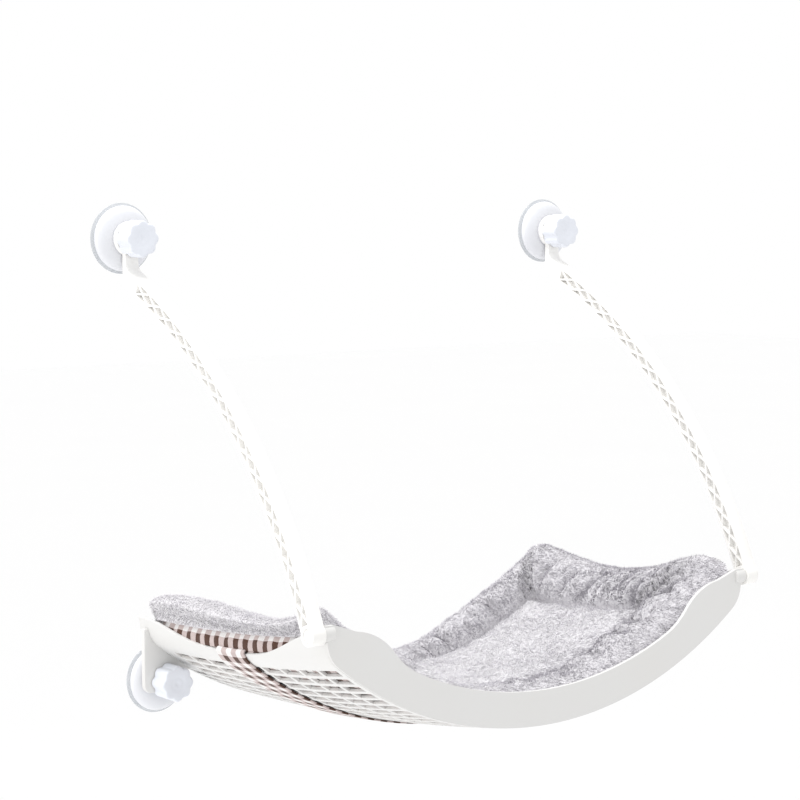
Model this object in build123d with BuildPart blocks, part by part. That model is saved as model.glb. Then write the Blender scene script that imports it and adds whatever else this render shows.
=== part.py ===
from build123d import *

import os
from math import acos, asin, atan2, ceil, cos, degrees, hypot, radians, sin, sqrt

os.makedirs("parts", exist_ok=True)

# A cat perch that hangs on a window pane on four suction cups: a cradle tray with a slotted
# floor, two bowed arms with X ribs, a plush cushion on a check base and a strap round the tray.
# Millimetres. The glass is the plane Y = 0, the room lies toward -Y, X runs along the glass and
# Z is up. The origin lies on the glass, midway between the studs of the two lower cups.

# Layout of cups and pivots
upper_cup_spacing = 532.0
lower_cup_spacing = 466.0
cup_rise = 431.0
pivot_reach = 314.0
pivot_rise = 91.0

# Clearances
running_clearance = 0.05
hole_clearance = 0.3
seat_clearance = 0.3
overrun = 6.0

# Suction cup: depth is counted from the glass
cup_radius = 34.0
cup_rim_width = 3.5
cup_lip_thick = 1.2
cup_hollow = 1.4
cup_shoulder_depth = 3.0
cup_shoulder_width = 5.5
cup_hub_radius = 10.0

# Domed cover
cover_rim_inset = 2.5
cover_wall = 2.0
dome_steps = 4
collar_radius = 15.5
collar_height = 1.6
clamp_depth = 14.0

# Stud, washer and nut
stud_radius = 3.0
stud_head_radius = 8.0
stud_head_thick = 2.4
stud_head_depth = 3.0
stud_depth = 36.0
washer_radius = 9.0
washer_thick = 1.2
nut_width = 10.0
nut_thick = 5.0
nut_inset = 0.8

# Star knob
knob_radius = 17.8
knob_lobes = 8
knob_lobe_radius = 4.6
knob_root_radius = 14.8
knob_depth = 20.0
knob_edge = 1.0
knob_dish_radius = 6.5
knob_dish_depth = 0.8
knob_bore_floor = 3.0

# Arm: a bowed beam, its eye, knee and hinge boss
arm_width = 14.0
arm_depth = 16.5
arm_flange = 2.4
arm_web = 3.0
arm_bow_radius = 560.0
arm_knee_reach = 39.0
arm_knee_drop = 47.0
arm_knee_round = 11.0
arm_plate_thick = 6.0
arm_eye_radius = 16.5
arm_boss_radius = 9.5
truss_bays = 18
truss_rib = 1.9

# Pivot pin
pin_radius = 3.0
pin_head_radius = 6.0
pin_head_thick = 2.0
pin_recess = 0.4
pin_grip = 10.0

# Tray
tray_half_width = 258.0
tray_back = 5.0
tray_low = 48.7
tray_wall = 3.0
floor_radius = 393.0
curl_radius = 30.0
wall_lean = 10.0
wall_rise = 27.0
hull_radius = 1970.0
back_wall_height = 28.0
back_rim_rise = 64.0
ear_radius = 7.5
ear_width = 12.0
bracket_width = 50.0
bracket_thick = 6.0
bracket_drop = 10.0
bracket_round = 8.0

# Fascia: the tall band across the front, seen in X and Z
fascia_past_pivot = 4.0
fascia_thick = 3.5
fascia_height = 33.5
fascia_parallel = 152.0
fascia_haunch_x = 180.0
fascia_haunch_rise = 66.0
fascia_shoulder_x = 222.0
fascia_shoulder_rise = 90.0
fascia_lip_edge = 2.2

# End wall rim, seen from the side: shares of the way from the glass to the fascia, and rises over
# the lower studs
rim_flat_share = 0.083
rim_dip_share = 0.343
rim_dip_rise = 50.4
rim_mid_share = 0.652
rim_mid_rise = 56.0
rim_crest_share = 0.878
rim_crest_rise = 83.0

# Slotted floor
slot_column_pairs = 17
slot_rows = 10
slot_bar_across = 5.0
slot_bar_along = 4.0
slot_margin_ends = 2.3
slot_margin_back = 5.0
slot_margin_front = 4.0

# Cushion: check base, plush top with border bolsters and a stitched inner rectangle
base_thick = 15.0
cushion_end_gap = 5.0
cushion_back = 18.5
cushion_front_gap = 2.5
cushion_corner = 42.0
end_bolster_height = 28.0
end_bolster_width = 50.0
back_bolster_height = 34.0
back_bolster_width = 46.0
front_bolster_height = 29.0
front_bolster_width = 68.0
pad_height = 16.0
pad_crown = 5.0
base_side_gap = 1.5

# Strap round the tray
strap_from = 139.0
strap_width = 45.0
strap_thick = 1.5
strap_gap = 0.4
strap_short_of_upright = 19.0

# Worked out from the sizes above
half_upper = upper_cup_spacing / 2
half_lower = lower_cup_spacing / 2
plate_front = clamp_depth + arm_plate_thick
cover_radius = cup_radius - cover_rim_inset
arm_inner_x = half_upper - arm_width / 2
arm_outer_x = half_upper + arm_width / 2
stud_hole = stud_radius + hole_clearance
fascia_reach = pivot_reach + fascia_past_pivot
fascia_back = fascia_reach - fascia_thick
cushion_half_width = tray_half_width - cushion_end_gap
cushion_front = fascia_back - cushion_front_gap
ear_outer_x = arm_inner_x - seat_clearance
ear_crest = pivot_rise + ear_radius
ear_inner_x = ear_outer_x - ear_width

# The cradle's section in X and Z: a wide arc, a curl at each end and a leaning wall
arc_rise = floor_radius - tray_low
wall_angle = radians(90 - wall_lean)
wall_slant = wall_rise / sin(wall_angle)
curl_share = (tray_half_width - curl_radius * sin(wall_angle) - wall_slant * cos(wall_angle)) / (
    floor_radius - curl_radius
)
curl_angle = asin(curl_share)


def hull_lift(reach):
    """How far the floor's lowest line has risen at this distance from the glass."""
    return hull_radius - sqrt(hull_radius**2 - (reach - tray_back) ** 2)


def arc_point(radius, angle, lift):
    """A point in X and Z on a circle about the floor's axis, its angle counted from straight down."""
    return (radius * sin(angle), arc_rise + lift - radius * cos(angle))


def curl_point(inset, angle, lift):
    """A point in X and Z on the curl between the floor's arc and the right end wall."""
    x, z = arc_point(floor_radius - curl_radius, curl_angle, lift)
    radius = curl_radius - inset
    return (x + radius * sin(angle), z - radius * cos(angle))


def wall_point(inset, slant, lift):
    """A point in X and Z on the right end wall, this far up from the curl."""
    x, z = curl_point(inset, wall_angle, lift)
    return (x + slant * cos(wall_angle), z + slant * sin(wall_angle))


def mirrored(point):
    """The same point on the other side of the middle."""
    x, z = point
    return (-x, z)


def cradle_line(inset, slant, lift):
    """One wall top, the whole underside and the other wall top, drawn in the open line block."""
    bend = (curl_angle + wall_angle) / 2
    foot = arc_point(floor_radius - inset, curl_angle, lift)
    low = arc_point(floor_radius - inset, 0, lift)
    knee = curl_point(inset, bend, lift)
    sill = curl_point(inset, wall_angle, lift)
    top = wall_point(inset, slant, lift)
    Line(mirrored(top), mirrored(sill))
    ThreePointArc(mirrored(sill), mirrored(knee), mirrored(foot))
    ThreePointArc(mirrored(foot), low, foot)
    ThreePointArc(foot, knee, sill)
    Line(sill, top)
    return top


# Window fixings: cup, cover, stud, washer, nut and knob at each of four places
places = {
    "upper_left": (-half_upper, cup_rise),
    "upper_right": (half_upper, cup_rise),
    "lower_left": (-half_lower, 0),
    "lower_right": (half_lower, 0),
}
cup_hub_depth = clamp_depth - cover_wall - seat_clearance
pocket_radius = stud_head_radius + hole_clearance
pocket_end = stud_head_depth + stud_head_thick + hole_clearance
shoulder_in = cup_radius - cover_rim_inset - cup_shoulder_width

for where, (x, z) in places.items():
    section = Plane(origin=(x, 0, z), x_dir=(1, 0, 0), z_dir=(0, 0, -1))
    spin = Axis((x, 0, z), (0, -1, 0))

    # The soft cup, hollow toward the glass, with the stud's head moulded into its hub
    with BuildPart() as cup:
        with BuildSketch(section):
            with BuildLine():
                Polyline(
                    (0, cup_hollow),
                    (0, stud_head_depth),
                    (pocket_radius, stud_head_depth),
                    (pocket_radius, pocket_end),
                    (stud_hole, pocket_end),
                    (stud_hole, cup_hub_depth),
                    (cup_hub_radius, cup_hub_depth),
                    (shoulder_in, cup_shoulder_depth),
                    (cover_radius, cup_shoulder_depth),
                    (cup_radius, cup_lip_thick),
                    (cup_radius, 0),
                    (cup_radius - cup_rim_width, 0),
                    (cup_radius - cup_rim_width - cup_shoulder_width, cup_hollow),
                    close=True,
                )
            make_face()
        revolve(axis=spin)
    cup.part.label = f"suction_cup_{where}"
    export_step(cup.part, f"parts/suction_cup_{where}.step")

    # The domed cover: its rim stands on the cup's shoulder and its collar meets the eye or plate
    collar_foot = clamp_depth - collar_height
    dome = []
    under = []
    for step in range(dome_steps + 1):
        turn = radians(90 * step / dome_steps)
        rise = (collar_foot - cup_shoulder_depth) * sin(turn)
        spread = (cover_radius - collar_radius) * cos(turn)
        dome.append((collar_radius + spread, cup_shoulder_depth + rise))
        under.append((collar_radius - cover_wall + spread, cup_shoulder_depth + rise))
    with BuildPart() as cover:
        with BuildSketch(section):
            with BuildLine():
                Polyline(
                    *dome,
                    (collar_radius, clamp_depth),
                    (stud_hole, clamp_depth),
                    (stud_hole, clamp_depth - cover_wall),
                    *reversed(under),
                    close=True,
                )
            make_face()
        revolve(axis=spin)
    cover.part.label = f"cup_cover_{where}"
    export_step(cover.part, f"parts/cup_cover_{where}.step")

    # The stud with its flat round head
    with BuildPart() as stud:
        with BuildSketch(section):
            with BuildLine():
                Polyline(
                    (0, stud_head_depth),
                    (stud_head_radius, stud_head_depth),
                    (stud_head_radius, stud_head_depth + stud_head_thick),
                    (stud_radius, stud_head_depth + stud_head_thick),
                    (stud_radius, stud_depth),
                    (0, stud_depth),
                    close=True,
                )
            make_face()
        revolve(axis=spin)
    stud.part.label = f"stud_{where}"
    export_step(stud.part, f"parts/stud_{where}.step")

    # The washer under the knob
    face = Plane(origin=(x, -plate_front, z), x_dir=(1, 0, 0), z_dir=(0, -1, 0))
    with BuildPart() as washer:
        with BuildSketch(face):
            Circle(washer_radius)
            Circle(stud_radius + running_clearance, mode=Mode.SUBTRACT)
        extrude(amount=washer_thick)
    washer.part.label = f"washer_{where}"
    export_step(washer.part, f"parts/washer_{where}.step")

    # The nut moulded into the knob
    nut_face = face.offset(washer_thick + nut_inset)
    with BuildPart() as nut:
        with BuildSketch(nut_face):
            RegularPolygon(nut_width / 2, 6, major_radius=False)
            Circle(stud_radius + running_clearance, mode=Mode.SUBTRACT)
        extrude(amount=nut_thick)
    nut.part.label = f"knob_nut_{where}"
    export_step(nut.part, f"parts/knob_nut_{where}.step")

    # The star knob, dished in front, with a pocket for the nut and a blind bore for the stud
    knob_face = face.offset(washer_thick)
    lobe_pitch = knob_radius - knob_lobe_radius
    with BuildPart() as knob:
        with BuildSketch(knob_face):
            Circle(knob_root_radius)
            with PolarLocations(lobe_pitch, knob_lobes):
                Circle(knob_lobe_radius)
        extrude(amount=knob_depth)
        front_edges = knob.faces().sort_by(Axis.Y)[0].edges()
        chamfer(front_edges, length=knob_edge)
        with BuildSketch(knob_face.offset(knob_depth)):
            Circle(knob_dish_radius)
        extrude(amount=-knob_dish_depth, mode=Mode.SUBTRACT)
        with BuildSketch(knob_face):
            RegularPolygon(nut_width / 2 + hole_clearance / 2, 6, major_radius=False)
        extrude(amount=nut_inset + nut_thick + hole_clearance, mode=Mode.SUBTRACT)
        with BuildSketch(knob_face):
            Circle(stud_hole)
        extrude(amount=knob_depth - knob_bore_floor, mode=Mode.SUBTRACT)
    knob.part.label = f"star_knob_{where}"
    export_step(knob.part, f"parts/star_knob_{where}.step")

# The arm's bow is a circle through its knee and the pivot, seen in Y and Z
knee_y = -arm_knee_reach
knee_z = cup_rise - arm_knee_drop
chord_y = -pivot_reach - knee_y
chord_z = pivot_rise - knee_z
chord = hypot(chord_y, chord_z)
sag_leg = sqrt(arm_bow_radius**2 - (chord / 2) ** 2)
bow_y = knee_y + chord_y / 2 - sag_leg * chord_z / chord
bow_z = knee_z + chord_z / 2 + sag_leg * chord_y / chord
if bow_y < knee_y:
    bow_y = knee_y + chord_y / 2 + sag_leg * chord_z / chord
    bow_z = knee_z + chord_z / 2 - sag_leg * chord_y / chord
bow_end = atan2(pivot_rise - bow_z, -pivot_reach - bow_y)
top_radius = arm_bow_radius + arm_depth / 2
low_radius = arm_bow_radius - arm_depth / 2


def on_bow(radius, angle):
    """A point in Y and Z on a circle about the bow's centre."""
    return (bow_y + radius * cos(angle), bow_z + radius * sin(angle))


def bow_angle_at(radius, reach):
    """The angle at which a circle about the bow's centre crosses this distance from the glass."""
    return acos((-reach - bow_y) / radius)


top_start = bow_angle_at(top_radius, plate_front)
low_start = bow_angle_at(low_radius, clamp_depth)
boss_share_angle = arm_boss_radius / arm_bow_radius
knee_angle = atan2(knee_z - bow_z, knee_y - bow_y)
field_start = knee_angle
field_end = bow_end - boss_share_angle
bay = (field_end - field_start) / truss_bays
rail_top = top_radius - arm_flange
rail_low = low_radius + arm_flange
rib_rise = rail_top - rail_low
rib_run = bay * arm_bow_radius
rib_length = hypot(rib_rise, rib_run) + arm_flange
rib_tilt = degrees(atan2(rib_rise, rib_run))

for side, sign in (("left", -1), ("right", 1)):
    eye_x = sign * half_upper
    near_x = sign * arm_inner_x
    far_x = sign * arm_outer_x
    low_x = min(near_x, far_x)
    high_x = max(near_x, far_x)

    with BuildPart() as arm:
        # The beam's outline with its knee, full width
        with BuildSketch(Plane.YZ.offset(low_x)):
            with BuildLine():
                top_arc = ThreePointArc(
                    on_bow(top_radius, top_start),
                    on_bow(top_radius, (top_start + bow_end) / 2),
                    on_bow(top_radius, bow_end),
                )
                low_arc = ThreePointArc(
                    on_bow(low_radius, bow_end),
                    on_bow(low_radius, (low_start + bow_end) / 2),
                    on_bow(low_radius, low_start),
                )
                Line(top_arc @ 1, low_arc @ 0)
                neck = Polyline(
                    low_arc @ 1,
                    (-clamp_depth, cup_rise - arm_eye_radius / 2),
                    (-plate_front, cup_rise - arm_eye_radius / 2),
                    top_arc @ 0,
                )
            make_face()
            with Locations((-pivot_reach, pivot_rise)):
                Circle(arm_boss_radius)
        extrude(amount=arm_width)
        knee_edges = arm.edges().filter_by(Axis.X).filter_by(
            lambda e: e.center().Z > knee_z - arm_depth and e.center().Z < cup_rise - arm_eye_radius
        )
        fillet(knee_edges, radius=arm_knee_round)

        # The flat eye that the knob clamps, with a flared neck
        with BuildSketch(Plane.XZ.offset(clamp_depth)):
            with Locations((eye_x, cup_rise)):
                Circle(arm_eye_radius)
            with Locations((eye_x, cup_rise - arm_eye_radius)):
                Rectangle(arm_width, arm_eye_radius * 2)
        extrude(amount=arm_plate_thick)
        with BuildSketch(Plane.XZ.offset(clamp_depth)):
            with Locations((eye_x, cup_rise)):
                Circle(stud_hole)
        extrude(amount=arm_plate_thick, mode=Mode.SUBTRACT)

        # Pockets on both sides leave a thin web and one pair of crossed ribs in each bay
        pocket_depth = (arm_width - arm_web) / 2
        for face_x, inward in ((high_x, -1), (low_x, 1)):
            with BuildSketch(Plane.YZ.offset(face_x)):
                with BuildLine():
                    rail_a = ThreePointArc(
                        on_bow(rail_top, field_start),
                        on_bow(rail_top, (field_start + field_end) / 2),
                        on_bow(rail_top, field_end),
                    )
                    rail_b = ThreePointArc(
                        on_bow(rail_low, field_end),
                        on_bow(rail_low, (field_start + field_end) / 2),
                        on_bow(rail_low, field_start),
                    )
                    Line(rail_a @ 1, rail_b @ 0)
                    Line(rail_b @ 1, rail_a @ 0)
                make_face()
                crossings = []
                for k in range(truss_bays):
                    middle = field_start + (k + 1 / 2) * bay
                    y, z = on_bow(arm_bow_radius, middle)
                    along = degrees(middle) + 90
                    crossings.append(Location((y, z, 0), (0, 0, along + rib_tilt)))
                    crossings.append(Location((y, z, 0), (0, 0, along - rib_tilt)))
                with Locations(*crossings):
                    Rectangle(rib_length, truss_rib, mode=Mode.SUBTRACT)
            extrude(amount=inward * pocket_depth, mode=Mode.SUBTRACT)

        # Hinge bore and the recess for the pin's head
        with BuildSketch(Plane.YZ.offset(low_x)):
            with Locations((-pivot_reach, pivot_rise)):
                Circle(pin_radius + running_clearance)
        extrude(amount=arm_width, mode=Mode.SUBTRACT)
        with BuildSketch(Plane.YZ.offset(far_x)):
            with Locations((-pivot_reach, pivot_rise)):
                Circle(pin_head_radius + hole_clearance)
        extrude(amount=-sign * (pin_head_thick + pin_recess), mode=Mode.SUBTRACT)
    arm.part.label = f"support_arm_{side}"
    export_step(arm.part, f"parts/support_arm_{side}.step")

    # Pivot pin: its head lies in the arm's recess, its tail is pressed into the tray's blind ear
    head_seat = arm_outer_x - pin_head_thick - pin_recess
    tail_x = ear_outer_x - pin_grip
    with BuildPart() as pin:
        with BuildSketch(Plane.YZ.offset(sign * (head_seat + pin_head_thick))):
            with Locations((-pivot_reach, pivot_rise)):
                Circle(pin_head_radius)
        extrude(amount=-sign * pin_head_thick)
        with BuildSketch(Plane.YZ.offset(sign * head_seat)):
            with Locations((-pivot_reach, pivot_rise)):
                Circle(pin_radius)
        extrude(amount=-sign * (head_seat - tail_x))
    pin.part.label = f"pivot_pin_{side}"
    export_step(pin.part, f"parts/pivot_pin_{side}.step")


# The tray: cradle floor with end walls, slots, back wall, fascia, ears and brackets in one moulding
hull_axis_rise = hull_radius - tray_low
section = Plane.XZ.offset(tray_back)
hull_axis = Axis((0, -tray_back, hull_axis_rise), (-1, 0, 0))
hull_turn = degrees(asin((cup_rise - tray_back) / hull_radius))
side_far = half_upper + cup_radius
bracket_in = half_lower - bracket_width / 2
bracket_out = half_lower + bracket_width / 2
front_lift = hull_lift(fascia_reach)
front_sill_rise = curl_point(0, wall_angle, front_lift)[1]
ear_slant = (ear_crest - front_sill_rise) / sin(wall_angle)
slot_field_angle = curl_angle - slot_margin_ends / floor_radius
slot_turn = slot_field_angle / slot_column_pairs
slot_pitch_across = slot_turn * floor_radius
slot_pitch_along = (fascia_back - tray_back - slot_margin_back - slot_margin_front) / slot_rows
slot_width = slot_pitch_across - slot_bar_across
slot_length = slot_pitch_along - slot_bar_along
slot_first = tray_back + slot_margin_back + slot_pitch_along / 2
notch_radius = cover_radius + seat_clearance * 4
seat_radius = floor_radius - tray_wall

with BuildPart() as cradle:
    # Floor and end walls: the section swept along a shallow arc towards the room
    with BuildSketch(section):
        with BuildLine():
            outer_top = cradle_line(0, wall_slant, 0)
            inner_top = cradle_line(tray_wall, wall_slant, 0)
            Line(outer_top, inner_top)
            Line(mirrored(outer_top), mirrored(inner_top))
        make_face()
    revolve(axis=hull_axis, revolution_arc=hull_turn)
    split(bisect_by=Plane.XZ.offset(fascia_back), keep=Keep.BOTTOM)

    # The rim of the end walls dips in the middle and climbs to the hinge ears
    with BuildSketch(Plane.YZ.offset(-side_far)):
        with BuildLine():
            rim = Spline(
                (-rim_flat_share * fascia_back, back_rim_rise),
                (-rim_dip_share * fascia_back, rim_dip_rise),
                (-rim_mid_share * fascia_back, rim_mid_rise),
                (-rim_crest_share * fascia_back, rim_crest_rise),
                (-fascia_back, ear_crest),
                tangents=[(-1, -sin(radians(wall_lean))), (-1, sin(radians(wall_lean)))],
            )
            Polyline(
                rim @ 1,
                (-fascia_back - overrun, ear_crest),
                (-fascia_back - overrun, cup_rise),
                (overrun, cup_rise),
                (overrun, back_rim_rise),
                rim @ 0,
            )
        make_face()
    extrude(amount=2 * side_far, mode=Mode.SUBTRACT)

with BuildPart() as tray:
    # Fascia across the front, with its shoulders up to the ears
    with BuildSketch(Plane.XZ.offset(fascia_back)):
        with BuildLine():
            ear_top = cradle_line(0, ear_slant, front_lift)
            crown_radius = floor_radius - fascia_height
            flank = asin(fascia_parallel / crown_radius)
            edge_start = arc_point(crown_radius, flank, front_lift)
            crown = ThreePointArc(
                mirrored(edge_start), arc_point(crown_radius, 0, front_lift), edge_start
            )
            haunch = TangentArc(
                crown @ 1, (fascia_haunch_x, fascia_haunch_rise), tangent=crown % 1
            )
            shoulder = TangentArc(
                haunch @ 1, (fascia_shoulder_x, fascia_shoulder_rise), tangent=haunch % 1
            )
            to_ear = Line(shoulder @ 1, (ear_inner_x, ear_crest))
            Line(to_ear @ 1, ear_top)
            mirror(haunch, about=Plane.YZ)
            mirror(shoulder, about=Plane.YZ)
            mirror(to_ear, about=Plane.YZ)
            Line((-ear_inner_x, ear_crest), mirrored(ear_top))
        make_face()
    extrude(amount=fascia_thick)
    front_edges = tray.faces().sort_by(Axis.Y)[0].edges()
    low_edges = front_edges.filter_by(GeomType.CIRCLE).filter_by(
        lambda e: abs(e.radius - floor_radius) < running_clearance or e.radius < curl_radius + overrun
    )
    chamfer(low_edges, length=fascia_lip_edge)
    add(cradle.part)

    # Back wall, cut level with the end walls' rim
    with BuildSketch(section):
        with BuildLine():
            first = 270 - degrees(curl_angle)
            spread = 2 * degrees(curl_angle)
            low = CenterArc((0, arc_rise), floor_radius - tray_wall / 2, first, spread)
            high = CenterArc((0, arc_rise), floor_radius - back_wall_height, first, spread)
            Line(low @ 0, high @ 0)
            Line(low @ 1, high @ 1)
        make_face()
        with Locations((0, back_rim_rise + tray_wall)):
            Rectangle(4 * side_far, 2 * tray_wall, align=(Align.CENTER, Align.MIN), mode=Mode.SUBTRACT)
    extrude(amount=tray_wall)

    # Hinge ears inside the arms, each on a web that runs into the fascia's shoulder
    for sign in (-1, 1):
        with BuildSketch(Plane.YZ.offset(sign * ear_inner_x)):
            with Locations((-pivot_reach, pivot_rise)):
                Circle(ear_radius)
        extrude(amount=sign * ear_width)
        with BuildSketch(Plane.YZ.offset(sign * ear_outer_x)):
            with Locations((-pivot_reach, pivot_rise)):
                Circle(pin_radius + running_clearance)
        extrude(amount=-sign * (pin_grip + seat_clearance), mode=Mode.SUBTRACT)

    # Bracket plates under the back corners, clamped between covers and washers
    with BuildSketch(Plane.XZ.offset(clamp_depth)):
        with BuildLine():
            plate_top = floor_radius - tray_wall / 2
            in_top = arc_point(plate_top, asin(bracket_in / plate_top), 0)
            mid_top = arc_point(plate_top, asin(half_lower / plate_top), 0)
            out_top = wall_point(tray_wall / 2, 0, 0)
            Line((bracket_in, -bracket_drop), in_top)
            ThreePointArc(in_top, mid_top, arc_point(plate_top, curl_angle, 0))
            ThreePointArc(
                arc_point(plate_top, curl_angle, 0),
                curl_point(tray_wall / 2, (curl_angle + wall_angle) / 2, 0),
                out_top,
            )
            Polyline(
                out_top,
                (bracket_out, out_top[1]),
                (bracket_out, -bracket_drop),
                (bracket_in, -bracket_drop),
            )
        make_face()
        mirror(about=Plane.YZ)
    extrude(amount=bracket_thick)
    plate_corners = tray.edges().filter_by(Axis.Y).group_by(Axis.Z)[0]
    fillet(plate_corners, radius=bracket_round)
    with BuildSketch(Plane.XZ):
        with Locations((-half_lower, 0), (half_lower, 0)):
            Circle(notch_radius)
    extrude(amount=clamp_depth, mode=Mode.SUBTRACT)
    with BuildSketch(Plane.XZ.offset(clamp_depth)):
        with Locations((-half_lower, 0), (half_lower, 0)):
            Circle(stud_hole)
    extrude(amount=bracket_thick, mode=Mode.SUBTRACT)

    # Rows of slots follow the arc; the floor stays whole along its middle and over the brackets
    with BuildSketch(Plane.XY.offset(-tray_low - overrun)):
        for pair in range(slot_column_pairs):
            turn = (pair + 1 / 2) * slot_turn
            x = floor_radius * sin(turn)
            spots = []
            for row in range(slot_rows):
                reach = slot_first + row * slot_pitch_along
                if row > 0 or x < bracket_in - slot_pitch_across / 2:
                    spots.append((x, -reach))
                    spots.append((-x, -reach))
            with Locations(*spots):
                Rectangle(slot_width * cos(turn), slot_length)
    extrude(amount=tray_low + overrun + back_rim_rise, mode=Mode.SUBTRACT)
tray.part.label = "tray"
export_step(tray.part, "parts/tray.step")

# Cushion: the check base lies on the floor, the plush top carries a bolster all round
base_low = floor_radius - tray_wall - seat_clearance
base_top = base_low - base_thick
base_angle = curl_angle - base_side_gap / base_low
cushion_length = cushion_front - cushion_back
cushion_middle = (cushion_front + cushion_back) / 2
plan = Plane.XY.offset(-tray_low - overrun)
plan_height = tray_low + overrun + cup_rise

with BuildPart() as base:
    with BuildSketch(section):
        with BuildLine():
            first = 270 - degrees(base_angle)
            spread = 2 * degrees(base_angle)
            low = CenterArc((0, arc_rise), base_low, first, spread)
            high = CenterArc((0, arc_rise), base_top, first, spread)
            Line(low @ 0, high @ 0)
            Line(low @ 1, high @ 1)
        make_face()
    revolve(axis=hull_axis, revolution_arc=hull_turn)
    with BuildSketch(plan):
        with Locations((0, -cushion_middle)):
            RectangleRounded(2 * cushion_half_width, cushion_length, cushion_corner)
    extrude(amount=plan_height, mode=Mode.INTERSECT)
base.part.label = "cushion_check_base"
export_step(base.part, "parts/cushion_check_base.step")

roll_radius = base_top - end_bolster_height / 2
roll_angle = asin((cushion_half_width - end_bolster_width / 2) / roll_radius)
back_roll_reach = cushion_back + back_bolster_width / 2
front_roll_reach = cushion_front - front_bolster_width / 2
plush_inset = tray_wall + strap_thick + 2 * strap_gap
plush_headroom = wall_slant + back_bolster_height + pivot_rise

with BuildPart() as plush:
    # The flat pad with a low crown
    with BuildSketch(section):
        with BuildLine():
            floor_line = CenterArc((0, arc_rise), base_top, first, spread)
            rise = ThreePointArc(
                arc_point(base_top - pad_height, -base_angle, 0),
                arc_point(base_top - pad_height - pad_crown, 0, 0),
                arc_point(base_top - pad_height, base_angle, 0),
            )
            Line(floor_line @ 0, rise @ 0)
            Line(floor_line @ 1, rise @ 1)
        make_face()
    revolve(axis=hull_axis, revolution_arc=hull_turn)

    # Bolsters along both ends
    roll_x, roll_z = arc_point(roll_radius, roll_angle, 0)
    for sign in (-1, 1):
        with BuildSketch(section):
            with Locations(Location((sign * roll_x, roll_z, 0), (0, 0, sign * degrees(roll_angle)))):
                SlotOverall(end_bolster_width, end_bolster_height)
        revolve(axis=hull_axis, revolution_arc=hull_turn)

    # Bolsters along the back and the front, bent round the floor's arc
    for reach, width, height in (
        (back_roll_reach, back_bolster_width, back_bolster_height),
        (front_roll_reach, front_bolster_width, front_bolster_height),
    ):
        lift = hull_lift(reach)
        x, z = arc_point(base_top - height / 2, 0, lift)
        for turn in (-1, 1):
            with BuildSketch(Plane.YZ):
                with Locations((-reach, z)):
                    SlotOverall(width, height)
            bend = Axis((0, -reach, arc_rise + lift), (0, turn, 0))
            revolve(axis=bend, revolution_arc=degrees(roll_angle))

    # Everything stays above the base, inside the end walls and within the rounded plan
    with BuildSketch(section):
        with BuildLine():
            seat = CenterArc(
                (0, arc_rise), base_top, 270 - degrees(curl_angle), 2 * degrees(curl_angle)
            )
            sill = curl_point(plush_inset, wall_angle, 0)
            top = wall_point(plush_inset, plush_headroom, 0)
            Polyline(seat @ 1, sill, top, mirrored(top), mirrored(sill), seat @ 0)
        make_face()
    revolve(axis=hull_axis, revolution_arc=hull_turn, mode=Mode.INTERSECT)
    with BuildSketch(plan):
        with Locations((0, -cushion_middle)):
            RectangleRounded(2 * cushion_half_width, cushion_length, cushion_corner)
    extrude(amount=plan_height, mode=Mode.INTERSECT)
plush.part.label = "cushion_plush_top"
export_step(plush.part, "parts/cushion_plush_top.step")

# The strap leaves the base inside each end wall, passes over the dip in the rim and under the tray
strap_out = strap_gap + strap_thick
strap_in = tray_wall + strap_gap
strap_angle = radians(90 - strap_short_of_upright)
strap_cap_angle = strap_angle + strap_thick / curl_radius
strap_turn = degrees(asin((strap_from - tray_back) / hull_radius))
strap_plane = Plane(
    origin=(0, -tray_back, hull_axis_rise), x_dir=(1, 0, 0), z_dir=(0, -1, 0)
).rotated((-strap_turn, 0, 0))
hub_lift = -hull_axis_rise


strap_strips = (
    (-strap_out, -strap_gap, curl_angle, strap_angle),
    (-strap_out, strap_in + strap_thick, strap_angle, strap_cap_angle),
    (strap_in, strap_in + strap_thick, curl_angle, strap_angle),
)

with BuildPart() as strap:
    with BuildSketch(strap_plane):
        for inset_a, inset_b, angle_a, angle_b in strap_strips:
            half = (angle_a + angle_b) / 2
            with BuildLine():
                outer = ThreePointArc(
                    curl_point(inset_a, angle_a, hub_lift),
                    curl_point(inset_a, half, hub_lift),
                    curl_point(inset_a, angle_b, hub_lift),
                )
                inner = ThreePointArc(
                    curl_point(inset_b, angle_a, hub_lift),
                    curl_point(inset_b, half, hub_lift),
                    curl_point(inset_b, angle_b, hub_lift),
                )
                Line(outer @ 0, inner @ 0)
                Line(outer @ 1, inner @ 1)
            make_face()
        mirror(about=Plane.YZ)
        with BuildLine():
            first = 270 - degrees(curl_angle)
            spread = 2 * degrees(curl_angle)
            far = CenterArc((0, arc_rise + hub_lift), floor_radius + strap_out, first, spread)
            near = CenterArc((0, arc_rise + hub_lift), floor_radius + strap_gap, first, spread)
            Line(far @ 0, near @ 0)
            Line(far @ 1, near @ 1)
        make_face()
    revolve(axis=hull_axis, revolution_arc=degrees(strap_width / hull_radius))
strap.part.label = "cushion_strap"
export_step(strap.part, "parts/cushion_strap.step")
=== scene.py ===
from math import asin, atan2, cos, pi, radians, sin, sqrt, tan

import bmesh
import bpy
import numpy as np
from mathutils import Matrix, Vector, noise


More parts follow.
